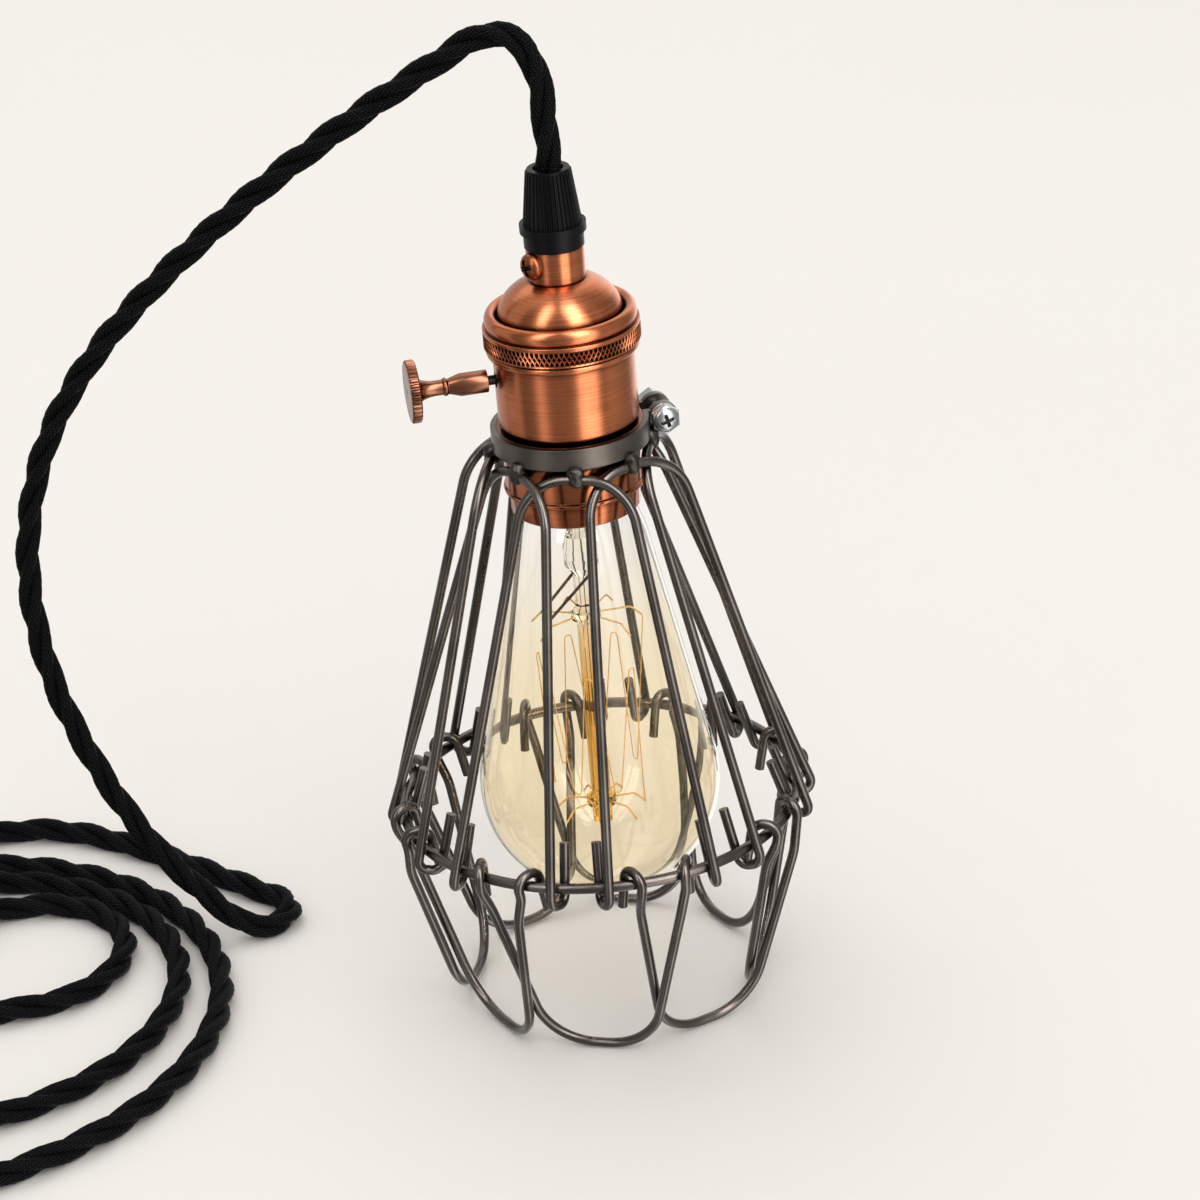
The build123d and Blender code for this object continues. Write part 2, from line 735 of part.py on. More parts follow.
with BuildPart() as knob:
    with BuildSketch(Plane.XZ):
        with BuildLine():
            bore = knob_height + shaft_diameter / 2 + shaft_clearance
            ferrule_end = ferrule_start + ferrule_length
            bead_stop = stalk_bead_start + stalk_bead_length
            stalk = knob_height + stalk_radius
            taper_stop = (-stalk_bead_start, stalk)
            ferrule_edge = (-ferrule_end, knob_height + ferrule_radius)
            Polyline(
                ferrule_edge,
                (-ferrule_start, knob_height + ferrule_radius),
                (-ferrule_start, bore),
                (-shaft_reach - fit_gap, bore),
                (-shaft_reach - fit_gap, knob_height),
                (-disc_start, knob_height),
                (-disc_start, knob_height + root_radius),
            )
            Line(ferrule_edge, taper_stop)
            bead_peak = (-(stalk_bead_start + bead_stop) / 2, knob_height + stalk_bead_radius)
            ThreePointArc(taper_stop, bead_peak, (-bead_stop, stalk))
            flare_rise = root_radius - stalk_radius
            flare_run = disc_start - flare_start
            Line((-bead_stop, stalk), (-flare_start, stalk))
            flare_bend = (flare_run**2 + flare_rise**2) / (2 * flare_rise)
            RadiusArc((-flare_start, stalk), (-disc_start, knob_height + root_radius), -flare_bend)
        make_face()
    revolve(axis=knob_axis)
    with BuildSketch(Plane(origin=(-disc_start, 0, knob_height), z_dir=(-1, 0, 0))):
        with BuildLine():
            Polyline(*toothed(disc_teeth, disc_radius, disc_radius - disc_tooth_depth), close=True)
        make_face()
    extrude(amount=disc_thickness)
    with BuildSketch(Plane(origin=(-disc_start - disc_thickness, 0, knob_height), z_dir=(-1, 0, 0))):
        Circle(disc_dot_radius)
    extrude(amount=-disc_dot_depth, mode=Mode.SUBTRACT)
finish(knob.part, "knob")

# Bulb glass: a round bottom, straight sides drawn in to the neck, and a short cone into the cap
neck_run = hypot(glass_neck_radius, glass_neck - bulb_middle)
side_angle = atan2(glass_neck - bulb_middle, glass_neck_radius) - acos(bulb_radius / neck_run)
glass_seat = cap_radius - sheet


def bulb_outline(wall):
    # Right half of the glass, thinned by a wall: axis, round bottom, side, neck and cap
    radius = bulb_radius - wall
    side = (radius * cos(side_angle), bulb_middle + radius * sin(side_angle))
    half = radians(-45) + side_angle / 2
    low = (radius * cos(half), bulb_middle + radius * sin(half))
    start = (0, bulb_middle - radius)
    ThreePointArc(start, low, side)
    neck = (glass_neck_radius - wall, glass_neck)
    end = (glass_seat - wall, cap_bottom + fit_gap)
    Polyline(side, neck, end, (0, end[1]), start)


with BuildPart() as bulb_glass:
    with BuildSketch(Plane.XZ):
        with BuildLine():
            bulb_outline(0)
        make_face()
        with BuildLine():
            bulb_outline(glass_wall)
        make_face(mode=Mode.SUBTRACT)
    revolve(axis=Axis.Z)
finish(bulb_glass.part, "bulb_glass")

# Screw cap, its insulator and its contact
finish(
    turned(
        [
            (glass_seat + fit_gap, cap_bottom),
            (cap_radius, cap_bottom),
            (cap_radius, cap_top - 2 * sheet),
            (cap_insulator_radius, cap_top),
            (0, cap_top),
            (0, cap_top - sheet),
            (cap_insulator_radius - sheet, cap_top - sheet),
            (glass_seat + fit_gap, cap_top - 3 * sheet),
        ]
    ),
    "bulb_cap",
)
insulator_top = cap_top + cap_insulator_height
finish(
    turned([(0, cap_top), (cap_insulator_radius, cap_top), (tip_radius, insulator_top), (0, insulator_top)]),
    "bulb_insulator",
)
with BuildPart() as bulb_contact:
    with BuildSketch(Plane.XY.offset(insulator_top)):
        Circle(tip_radius)
    extrude(amount=tip_height)
    fillet(bulb_contact.faces().sort_by(Axis.Z)[-1].edges(), tip_height * 0.6)
finish(bulb_contact.part, "bulb_contact")

# Glass stem: a flare off the neck, a pinched press, and a rod with two buttons that hold the hooks
stem_profile = [
    (0, flare_top),
    (glass_seat - glass_wall - stem_flare_gap, flare_top),
    (stem_radius + fit_gap, flare_top - stem_flare_drop),
    (press_radius, flare_top - press_drop + stem_radius),
    (press_radius - fit_gap, flare_top - press_drop - stem_radius),
    (stem_radius, flare_top - press_drop - 2 * stem_radius),
]
for hub in (upper_hub_height, lower_hub_height):
    stem_profile += [
        (stem_radius, hub + hub_height / 2),
        (hub_radius, hub + hub_height / 4),
        (hub_radius, hub - hub_height / 4),
        (stem_radius, hub - hub_height / 2),
    ]
rod_end = lower_hub_height - hub_height / 2 - rod_past_hub
stem_profile += [(stem_radius, rod_end), (0, rod_end)]
finish(turned(stem_profile), "bulb_stem")


def hook_tip(hub, reach, number):
    return around(number * 360 / hook_count, reach, 0, hub - hook_droop)


def spider(hub, reach):
    # Thin hooks that stand out of a button and turn down at their ends
    with BuildPart() as made:
        for number in range(hook_count):
            azimuth = number * 360 / hook_count
            start = around(azimuth, hub_radius, 0, hub)
            knee = around(azimuth, reach - hook_droop, 0, hub)
            with BuildLine() as path:
                FilletPolyline(start, knee, hook_tip(hub, reach, number), radius=hook_droop / 2)
            with BuildSketch(Plane(origin=path.line @ 0, z_dir=path.line % 0)):
                Circle(hook_wire / 2)
            sweep()
    return made.part


finish(spider(upper_hub_height, upper_hook_reach), "upper_hooks")
finish(spider(lower_hub_height, lower_hook_reach), "lower_hooks")

# Filament strung up and down between the hooks
strand_gap = (hook_wire + filament_wire) / 2
filament_route = []
for number in range(hook_count):
    upper = hook_tip(upper_hub_height, upper_hook_reach, number) - Vector(0, 0, strand_gap)
    lower = around((number + 0.5) * 360 / hook_count, lower_hook_reach, 0, lower_hub_height + strand_gap)
    filament_route += [upper, lower]
finish(tube(FilletPolyline(*filament_route, radius=hook_wire * 2), filament_wire), "filament")

# Two lead wires from the press to the upper hooks
with BuildPart() as lead_wires:
    for side in (-1, 1):
        start = around(lead_turn + side * 90, lead_spread, 0, press_low - stem_radius)
        end = around(lead_turn + side * 12, upper_hook_reach - hook_droop, 0, upper_hub_height + hook_droop)
        with BuildSketch(Plane(origin=start, z_dir=end - start)):
            Circle(lead_wire / 2)
        extrude(amount=(end - start).length)
finish(lead_wires.part, "lead_wires")

# Cord: out of the grip, over in an arch to the table, folded back there, and away to the coil
floor_line = cord_diameter / 2
coil_start = (-172, 133)
cord_route = [
    (0, 0, cord_seat),
    (0.4, -0.2, 241),
    (0, 0, 254),
    (-2.5, 1.4, 264),
    (-11, 6.1, 268),
    (-24, 13.4, 258.5),
    (-44, 24.5, 244),
    (-70, 39, 223),
    (-97, 54, 197.5),
    (-119, 66.3, 171.5),
    (-134, 74.6, 144),
    (-141.5, 78.8, 112),
    (-140, 78, 80),
    (-131, 73, 52),
    (-119.5, 66.5, 29),
    (-107, 58.8, 14),
    (-95, 51, floor_line),
    (-86.5, 51, floor_line),
    (-81.5, 57.5, floor_line),
    (-83.5, 65.5, floor_line),
    (-91, 74, floor_line),
    (-106, 93, floor_line),
    (-123, 113, floor_line),
    (-139.5, 127.5, floor_line),
    (-155, 133, floor_line),
    (*coil_start, floor_line),
]
arc_share = 0.45
corners = [Vector(*point) for point in cord_route]
cord_bends = []
for before, corner, after in zip(corners, corners[1:], corners[2:]):
    turn = radians((corner - before).get_angle(after - corner))
    shorter = min((corner - before).length, (after - corner).length)
    cord_bends.append(arc_share * shorter / tan(turn / 2))
cord_line = FilletPolyline(*corners, radius=cord_bends)
cord_arch = tube(cord_line, cord_diameter)
finish(cord_arch, "cord_arch")

# Coil: a loose spiral of half turns on the table, from the outside in; centre and radius of each right half
right_halves = [((-192.5, 31), 87), ((-182.2, 39.5), 66), ((-158.5, 56.5), 29)]
left_middles = [-192.5, -192.5, -198]
plug_x = right_halves[-1][0][0] - cord_diameter
plug_y = right_halves[-1][0][1] + right_halves[-1][1]
with BuildLine(Plane.XY.offset(floor_line)) as coil_line:
    place = coil_start
    for left, (centre, radius) in zip(left_middles, right_halves):
        foot = centre[1] - radius
        swing = (place[1] - foot) / 2
        if abs(left - place[0]) > fit_gap:
            Line(place, (left, place[1]))
        CenterArc((left, foot + swing), swing, 90, 180)
        if abs(centre[0] - left) > fit_gap:
            Line((left, foot), (centre[0], foot))
        CenterArc(centre, radius, -90, 180)
        place = (centre[0], centre[1] + radius)
    Line(place, (plug_x, plug_y))
coil_path = coil_line.wires()[0]
cord_coil = tube(coil_path, cord_diameter)
finish(cord_coil, "cord_coil")

# Flat two-pin plug, its nose to the cord
nose = Plane(origin=(plug_x, plug_y, 0), x_dir=(0, 1, 0), z_dir=(-1, 0, 0))
with BuildPart() as plug_body:
    nose_sizes = (
        (0, plug_nose_width, plug_nose_height),
        (plug_length * 0.4, plug_width, plug_height),
        (plug_length, plug_width, plug_height),
    )
    for depth, width, height in nose_sizes:
        with BuildSketch(nose.offset(depth)):
            with Locations((0, -height / 2)):
                RectangleRounded(width, height, plug_edge)
    loft(ruled=True)
finish(plug_body.part, "plug_body")

with BuildPart() as plug_pins:
    with BuildSketch(nose.offset(plug_length)):
        with Locations((0, -plug_height / 2)):
            with GridLocations(pin_pitch, 0, 2, 1):
                Circle(pin_diameter / 2)
    extrude(amount=pin_length)
    fillet(plug_pins.faces().sort_by(Axis.X)[:2].edges(), pin_diameter * 0.3)
finish(plug_pins.part, "plug_pins")

# Measures of the cord
cord_section = 3.141593 * floor_line**2
coil_points = [coil_path @ (step / 700) for step in range(701)]
apart = int(4 * cord_diameter / coil_path.length * 700)
coil_gap = min(
    (coil_points[i] - coil_points[j]).length
    for i in range(701)
    for j in range(i + apart, 701)
)
print("cord bend radii", [round(bend, 1) for bend in cord_bends])
print("cord length", round(cord_line.length + coil_path.length, 1))
print("arch volume ratio", round(cord_arch.volume / (cord_section * cord_line.length), 4))
print("coil volume ratio", round(cord_coil.volume / (cord_section * coil_path.length), 4))
print("coil least gap to itself", round(coil_gap - cord_diameter, 2))
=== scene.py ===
import math

import bmesh
import bpy
import mathutils
from mathutils import Matrix, Vector


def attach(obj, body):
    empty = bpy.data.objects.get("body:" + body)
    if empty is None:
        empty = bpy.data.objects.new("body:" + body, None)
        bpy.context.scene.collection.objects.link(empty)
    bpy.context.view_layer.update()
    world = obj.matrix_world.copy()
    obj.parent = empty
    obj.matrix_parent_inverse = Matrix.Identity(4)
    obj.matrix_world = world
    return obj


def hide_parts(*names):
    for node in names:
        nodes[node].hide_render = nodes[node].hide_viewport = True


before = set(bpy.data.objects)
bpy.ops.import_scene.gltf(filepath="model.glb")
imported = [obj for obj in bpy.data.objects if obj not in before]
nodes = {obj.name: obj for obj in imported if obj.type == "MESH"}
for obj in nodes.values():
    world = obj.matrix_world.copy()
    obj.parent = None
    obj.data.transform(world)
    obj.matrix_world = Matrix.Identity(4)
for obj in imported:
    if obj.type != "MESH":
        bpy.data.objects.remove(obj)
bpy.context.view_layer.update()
mm = 0.001
print("frame loaded")

# Camera: fitted to the photograph, for a square picture
camera = {
    "lens": 119.55,
    "sensor": 36.0,
    "distance": 0.943,
    "height": 0.5565,
    "yaw": 0.242,
    "pitch": 25.213,
    "roll": -4.786,
    "frameTurn": -9.2,
    "near": 0.01,
    "far": 100,
}


def makeCamera(spec):
    yaw, pitch, roll, turn = (math.radians(spec[key]) for key in ("yaw", "pitch", "roll", "frameTurn"))
    forward = Vector((math.sin(yaw) * math.cos(pitch), math.cos(yaw) * math.cos(pitch), -math.sin(pitch)))
    level = Vector((math.cos(yaw), -math.sin(yaw), 0))
    over = level.cross(forward)
    right = level * math.cos(roll) + over * math.sin(roll)
    up = over * math.cos(roll) - level * math.sin(roll)
    spin = Matrix.Rotation(turn, 4, "Z")
    pose = Matrix((right, up, -forward)).transposed().to_4x4()
    pose.translation = Vector((0, -spec["distance"], spec["height"]))
    data = bpy.data.cameras.new("photoCamera")
    data.lens = spec["lens"]
    data.sensor_width = spec["sensor"]
    data.clip_start, data.clip_end = spec["near"], spec["far"]
    made = bpy.data.objects.new("photoCamera", data)
    bpy.context.scene.collection.objects.link(made)
    made.matrix_world = spin @ pose
    bpy.context.scene.camera = made


makeCamera(camera)
print("camera made")

# Material helpers. A Mix node has sockets of the same name for each kind of value, so they go by number.
mixShare, colourA, colourB, colourOut, levelA, levelB = 0, 6, 7, 2, 2, 3


def linear(text, alpha=1.0):
    # sRGB hex colour to linear values
    values = [int(text[i:i + 2], 16) / 255 for i in (1, 3, 5)]
    return [v / 12.92 if v <= 0.04045 else ((v + 0.055) / 1.055) ** 2.4 for v in values] + [alpha]


def span(ends):
    # Settings for the range of values that is read
    return {"From Min": ends[0], "From Max": ends[1]}


def addNode(tree, kind, settings=None, links=None, output=0):
    # One node with its settings and links; gives back the output that is used
    made = tree.nodes.new(kind)
    for key, value in (settings or {}).items():
        if isinstance(key, int) or key in made.inputs:
            made.inputs[key].default_value = value
        else:
            setattr(made, key, value)
    for key, source in (links or {}).items():
        tree.links.new(source, made.inputs[key])
    return made.outputs[output]


def newMaterial(name, settings):
    made = bpy.data.materials.new(name)
    made.use_nodes = True
    shader = made.node_tree.nodes["Principled BSDF"]
    for key, value in settings.items():
        shader.inputs[key].default_value = value
    return made, made.node_tree, shader


def addGrain(tree, shader, look, height):
    # Bump from a pattern, over edges that are softened where the look asks for it
    links = {"Height": height}
    if look["softEdge"]:
        worn = {"Radius": look["softEdge"] * mm, "samples": 4}
        links["Normal"] = addNode(tree, "ShaderNodeBevel", worn)
    groove = {"Strength": look["bump"], "Distance": look["bumpHeight"] * mm}
    tree.links.new(addNode(tree, "ShaderNodeBump", groove, links), shader.inputs["Normal"])


# Spun and brushed copper sheet: lines round the axis draw each highlight out, and the recesses are painted
# dark, partly its antique finish and partly painted shade. Sizes are in millimetres. The real lines are finer
# than a pixel, so they are drawn wider to show.
copperLook = {
    "dark": "#2a120a", "middle": "#b0623d", "bright": "#c87c55", "roughness": 0.27, "streak": 0.75,
    "lineWidth": 0.24, "lineLength": 22, "lineHeight": 0.03, "lineBump": 0.1, "lineRange": (0.3, 0.7),
    "stain": 14, "stainRange": (0.5, 0.8), "stainShare": 0.35, "recess": 2.0, "recessRange": (0.5, 0.96),
    "worn": "", "pitPatinaShadeRange": (0.05, 0.65), "glossRange": (0.25, 0.75), "glossSpread": (0.92, 1.12),
}


def makeCopper(name, look):
    settings = {"Metallic": 1.0, "Anisotropic": look["streak"], "Anisotropic Rotation": 0.25}
    made, tree, shader = newMaterial(name, settings)
    place = addNode(tree, "ShaderNodeTexCoord", output="Object")
    length, width = look["lineLength"] * mm, look["lineWidth"] * mm
    stretch = {"Scale": (1 / length, 1 / length, 1 / width)}
    points = addNode(tree, "ShaderNodeMapping", stretch, {"Vector": place})
    brushed = {"Scale": 1.0, "Detail": 4.0, "Roughness": 0.6}
    lines = addNode(tree, "ShaderNodeTexNoise", brushed, {"Vector": points})
    cloud = {"Scale": 1 / (look["stain"] * mm), "Detail": 4.0, "Roughness": 0.55}
    stain = addNode(tree, "ShaderNodeTexNoise", cloud, {"Vector": place})
    # Ambient occlusion: painted shade in the recesses, together with the darker antique finish there
    nearby = {"samples": 6, "Distance": look["recess"] * mm}
    lit = addNode(tree, "ShaderNodeAmbientOcclusion", nearby, output="AO")
    # Lines, then the stain over them, then the recesses and the knurl's pits painted dark: antique finish and
    # painted shade
    dark = linear(look["dark"])
    share = addNode(tree, "ShaderNodeMapRange", span(look["lineRange"]), {"Value": lines})
    pair = {"data_type": "RGBA", colourA: linear(look["middle"]), colourB: linear(look["bright"])}
    tone = addNode(tree, "ShaderNodeMix", pair, {mixShare: share}, colourOut)
    faint = {**span(look["stainRange"]), "To Max": look["stainShare"]}
    share = addNode(tree, "ShaderNodeMapRange", faint, {"Value": stain})
    links = {mixShare: share, colourA: tone}
    tone = addNode(tree, "ShaderNodeMix", {"data_type": "RGBA", colourB: dark}, links, colourOut)
    share = addNode(tree, "ShaderNodeMapRange", span(look["recessRange"]), {"Value": lit})
    links = {mixShare: share, colourB: tone}
    tone = addNode(tree, "ShaderNodeMix", {"data_type": "RGBA", colourA: dark}, links, colourOut)
    # Knurl pits darkened from a mesh attribute: partly patina, partly painted shade
    if look["worn"]:
        pitPatinaShade = addNode(tree, "ShaderNodeAttribute", {"attribute_name": look["worn"]}, output="Fac")
        share = addNode(tree, "ShaderNodeMapRange", span(look["pitPatinaShadeRange"]), {"Value": pitPatinaShade})
        links = {mixShare: share, colourB: tone}
        tone = addNode(tree, "ShaderNodeMix", {"data_type": "RGBA", colourA: dark}, links, colourOut)
    tree.links.new(tone, shader.inputs["Base Color"])
    low, high = (look["roughness"] * part for part in look["glossSpread"])
    gloss = {**span(look["glossRange"]), "To Min": low, "To Max": high}
    tree.links.new(addNode(tree, "ShaderNodeMapRange", gloss, {"Value": lines}), shader.inputs["Roughness"])
    turned = addNode(tree, "ShaderNodeTangent", {"direction_type": "RADIAL", "axis": "Z"})
    tree.links.new(turned, shader.inputs["Tangent"])
    groove = {"Strength": look["lineBump"], "Distance": look["lineHeight"] * mm}
    tree.links.new(addNode(tree, "ShaderNodeBump", groove, {"Height": lines}), shader.inputs["Normal"])
    return made


# Drawn wire, pressed strip and plated steel: faint streaks in the gloss along the way it was worked, and a
# slow stain in the colour. Streaks are in millimetres along X, Y and Z, drawn coarser than the real ones.
steelLook = {
    "dark": "#504b46", "bright": "#69625c", "roughness": 0.28, "streak": (1.4, 1.4, 6.2), "stain": 17,
    "stainRange": (0.35, 0.7), "glossRange": (0.3, 0.7), "glossSpread": (0.9, 1.15), "bump": 0.1,
    "bumpHeight": 0.03, "softEdge": 0.0,
}


def makeSteel(name, look):
    made, tree, shader = newMaterial(name, {"Metallic": 1.0})
    place = addNode(tree, "ShaderNodeTexCoord", output="Object")
    stretch = {"Scale": tuple(1 / (width * mm) for width in look["streak"])}
    points = addNode(tree, "ShaderNodeMapping", stretch, {"Vector": place})
    worked = {"Scale": 1.0, "Detail": 3.0, "Roughness": 0.55}
    fine = addNode(tree, "ShaderNodeTexNoise", worked, {"Vector": points})
    cloud = {"Scale": 1 / (look["stain"] * mm), "Detail": 3.0, "Roughness": 0.5}
    stain = addNode(tree, "ShaderNodeTexNoise", cloud, {"Vector": place})
    share = addNode(tree, "ShaderNodeMapRange", span(look["stainRange"]), {"Value": stain})
    pair = {"data_type": "RGBA", colourA: linear(look["dark"]), colourB: linear(look["bright"])}
    tone = addNode(tree, "ShaderNodeMix", pair, {mixShare: share}, colourOut)
    tree.links.new(tone, shader.inputs["Base Color"])
    low, high = (look["roughness"] * part for part in look["glossSpread"])
    gloss = {**span(look["glossRange"]), "To Min": low, "To Max": high}
    tree.links.new(addNode(tree, "ShaderNodeMapRange", gloss, {"Value": fine}), shader.inputs["Roughness"])
    addGrain(tree, shader, look, fine)
    return made


# Moulded plastic, paper and the bulb's fine wires: one even colour, broken by a grain in colour and bump.
# The grain is in millimetres, drawn coarser than the real one to show.
plasticLook = {
    "dark": "#08080a", "bright": "#121214", "roughness": 0.16, "shine": 0.35, "grain": 1.1,
    "grainRange": (0.35, 0.7), "bump": 0.05, "bumpHeight": 0.08, "softEdge": 0.0,
}


def makePlastic(name, look):
    settings = {"Roughness": look["roughness"], "Specular IOR Level": look["shine"]}
    made, tree, shader = newMaterial(name, settings)
    place = addNode(tree, "ShaderNodeTexCoord", output="Object")
    cloud = {"Scale": 1 / (look["grain"] * mm), "Detail": 3.0, "Roughness": 0.6}
    grain = addNode(tree, "ShaderNodeTexNoise", cloud, {"Vector": place})
    share = addNode(tree, "ShaderNodeMapRange", span(look["grainRange"]), {"Value": grain})
    pair = {"data_type": "RGBA", colourA: linear(look["dark"]), colourB: linear(look["bright"])}
    tone = addNode(tree, "ShaderNodeMix", pair, {mixShare: share}, colourOut)
    tree.links.new(tone, shader.inputs["Base Color"])
    addGrain(tree, shader, look, grain)
    return made


# Braided rayon sleeve: two sets of crossing threads, with small glints where a thread comes to the top.
# The UV map is in millimetres round and along a strand, and threads are drawn wider than the real ones.
braidLook = {
    "dark": "#020202", "bright": "#303030", "roughness": 0.6, "shine": 0.05, "thread": 0.8, "tilt": 38,
    "wobble": 1.2, "fuzz": 0.45, "glintRange": (0.2, 0.5), "bump": 0.9, "bumpHeight": 0.3, "softEdge": 0.0,
}


def makeBraid(name, look):
    settings = {"Roughness": look["roughness"], "Specular IOR Level": look["shine"]}
    made, tree, shader = newMaterial(name, settings)
    place = addNode(tree, "ShaderNodeTexCoord", output="UV")
    bands = 2 * math.pi / (20 * look["thread"])  # a wave at scale 1 repeats 20 times in 2 pi units
    wave = {"Scale": bands, "Distortion": look["wobble"], "Detail": 1.0, "Detail Scale": 2.0}
    threads = []
    for tilt in (-look["tilt"], look["tilt"]):
        slant = {"Rotation": (0, 0, math.radians(tilt))}
        points = addNode(tree, "ShaderNodeMapping", slant, {"Vector": place})
        threads.append(addNode(tree, "ShaderNodeTexWave", wave, {"Vector": points}, "Fac"))
    times = {"operation": "MULTIPLY"}
    crossed = addNode(tree, "ShaderNodeMath", times, {0: threads[0], 1: threads[1]})
    cloud = {"Scale": 1 / look["fuzz"], "Detail": 3.0, "Roughness": 0.6}
    fuzz = addNode(tree, "ShaderNodeTexNoise", cloud, {"Vector": place})
    glint = addNode(tree, "ShaderNodeMath", times, {0: crossed, 1: fuzz})
    share = addNode(tree, "ShaderNodeMapRange", span(look["glintRange"]), {"Value": glint})
    pair = {"data_type": "RGBA", colourA: linear(look["dark"]), colourB: linear(look["bright"])}
    tone = addNode(tree, "ShaderNodeMix", pair, {mixShare: share}, colourOut)
    tree.links.new(tone, shader.inputs["Base Color"])
    addGrain(tree, shader, look, crossed)
    return made


# Blown glass: clear above, with a warm tint that comes in from one height down to another, in millimetres
glassLook = {
    "clear": "#ffffff", "tint": "#fff7e5", "low": 100, "high": 145, "bend": 1.3, "cloud": 25, "drift": 20,
}


def makeGlass(name, look):
    settings = {"Roughness": 0.0, "IOR": look["bend"], "Transmission Weight": 1.0}
    made, tree, shader = newMaterial(name, settings)
    place = addNode(tree, "ShaderNodeTexCoord", output="Object")
    height = addNode(tree, "ShaderNodeSeparateXYZ", links={"Vector": place}, output="Z")
    cloud = {"Scale": 1 / (look["cloud"] * mm), "Detail": 2.0, "Roughness": 0.5}
    uneven = addNode(tree, "ShaderNodeTexNoise", cloud, {"Vector": place})
    drift = {"operation": "MULTIPLY_ADD", 1: look["drift"] * mm}
    level = addNode(tree, "ShaderNodeMath", drift, {0: uneven, 2: height})
    reach = span((look["low"] * mm, look["high"] * mm))
    share = addNode(tree, "ShaderNodeMapRange", reach, {"Value": level})
    pair = {"data_type": "RGBA", colourA: linear(look["tint"]), colourB: linear(look["clear"])}
    tone = addNode(tree, "ShaderNodeMix", pair, {mixShare: share}, colourOut)
    tree.links.new(tone, shader.inputs["Base Color"])
    return made


# Copper: brushed cap and shell, knurl with patina and painted shade in its pits, smoother lower shell,
# browner knob and screw
copper = makeCopper("brushedCopper", copperLook)
# Knurl: darker patina, a shorter reach of painted shade, and pits darkened by patina and painted shade
knurlLook = {**copperLook, "dark": "#1a0b06", "recess": 0.8, "worn": "pitPatinaShade"}
knurledCopper = makeCopper("knurledCopper", knurlLook)
smoothLook = {**copperLook, "dark": "#260f08", "middle": "#9c583a", "bright": "#b46d49"}
polishedCopper = makeCopper("polishedCopper", {**smoothLook, "roughness": 0.17, "streak": 0.2})
brownLook = {**copperLook, "roughness": 0.22, "streak": 0.0}
knobLook = {**brownLook, "dark": "#20110b", "middle": "#764a36", "bright": "#906049", "recess": 0.9}
knobCopper = makeCopper("turnedCopper", knobLook)
screwLook = {**brownLook, "dark": "#0d0603", "middle": "#84482c", "bright": "#9c5c3c", "recess": 1.4}
screwCopper = makeCopper("screwCopper", {**screwLook, "roughness": 0.34})

# Steel: gunmetal wire and band, rough weld, bright zinc plate, brass contacts, dark shaft and lead wires
cageSteel = makeSteel("gunmetalWire", {**steelLook, "bump": 0.01})
bandLook = {**steelLook, "dark": "#544d47", "bright": "#6a635c", "roughness": 0.34}
stripLook = {**bandLook, "streak": (6.2, 6.2, 0.42), "bump": 0.2, "softEdge": 0.25}
bandSteel = makeSteel("gunmetalBand", stripLook)
weldLook = {**steelLook, "dark": "#393431", "bright": "#4d4844", "roughness": 0.4}
weldSteel = makeSteel("roughWeld", {**weldLook, "streak": (0.56, 0.56, 0.56), "bump": 0.9, "softEdge": 0.4})
evenLook = {**steelLook, "streak": (1.4, 1.4, 1.4)}
zincLook = {**evenLook, "dark": "#9a9c9c", "bright": "#c6c8c8", "roughness": 0.24, "softEdge": 0.2}
zincSteel = makeSteel("zincPlate", zincLook)
brassLook = {**steelLook, "dark": "#a5823f", "bright": "#cfae63", "streak": (3.3, 3.3, 0.67)}
brass = makeSteel("pressedBrass", {**brassLook, "softEdge": 0.1})
shaftLook = {**evenLook, "dark": "#262220", "bright": "#363130", "roughness": 0.34}
shaftSteel = makeSteel("darkSteel", shaftLook)
leadLook = {**evenLook, "dark": "#2e2118", "bright": "#553a24", "roughness": 0.35}
leadWire = makeSteel("leadWire", leadLook)

# Plastic and paper: matt black grip, glossy black plug, painted shade for the screws' slots, brown block,
# pale liner and pale wires
gripLook = {**plasticLook, "dark": "#030303", "bright": "#070707", "roughness": 0.4, "shine": 0.14}
gripPlastic = makePlastic("gripPlastic", {**gripLook, "grain": 0.38, "bump": 0.15, "softEdge": 0.15})
plugPlastic = makePlastic("plugPlastic", plasticLook)
# Near black for the inside of the screws' cross recesses: painted shade
slotShadeLook = {**plasticLook, "dark": "#080504", "bright": "#120b08", "roughness": 0.6}
slotPaintedShade = makePlastic("slotShade", {**slotShadeLook, "grain": 0.67, "bump": 0.1})
blockLook = {**plasticLook, "dark": "#15120f", "bright": "#241f1b", "roughness": 0.45}
insulator = makePlastic("mouldedInsulator", {**blockLook, "grain": 0.67, "bump": 0.2})
paperLook = {**plasticLook, "dark": "#b9ab8c", "bright": "#d5c9ad", "roughness": 0.8}
liner = makePlastic("paperLiner", {**paperLook, "grain": 0.71, "bump": 0.3})
wireLook = {**plasticLook, "dark": "#d6a24a", "bright": "#eac070", "roughness": 0.35}
lampWire = makePlastic("filamentWire", wireLook)

# Cord and glass
braid = makeBraid("braidedRayon", braidLook)
bulbGlass = makeGlass("bulbGlass", glassLook)
stemLook = {**glassLook, "clear": "#fcf9f1", "tint": "#e2b04c", "high": 128, "bend": 1.45}
stemGlass = makeGlass("stemGlass", stemLook)
print("materials made")

# Mesh helpers
weldGap = 1e-7  # metres: points nearer than this are one


def newPiece(name, mesh, material, body, slot, *replaced):
    made = bpy.data.objects.new(name, mesh)
    bpy.context.scene.collection.objects.link(made)
    mesh.materials.append(material)
    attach(made, body)
    if replaced:
        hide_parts(*replaced)
    return made


def smoothMesh(mesh, angle=35):
    mesh.polygons.foreach_set("use_smooth", [True] * len(mesh.polygons))
    mesh.set_sharp_from_angle(angle=math.radians(angle))


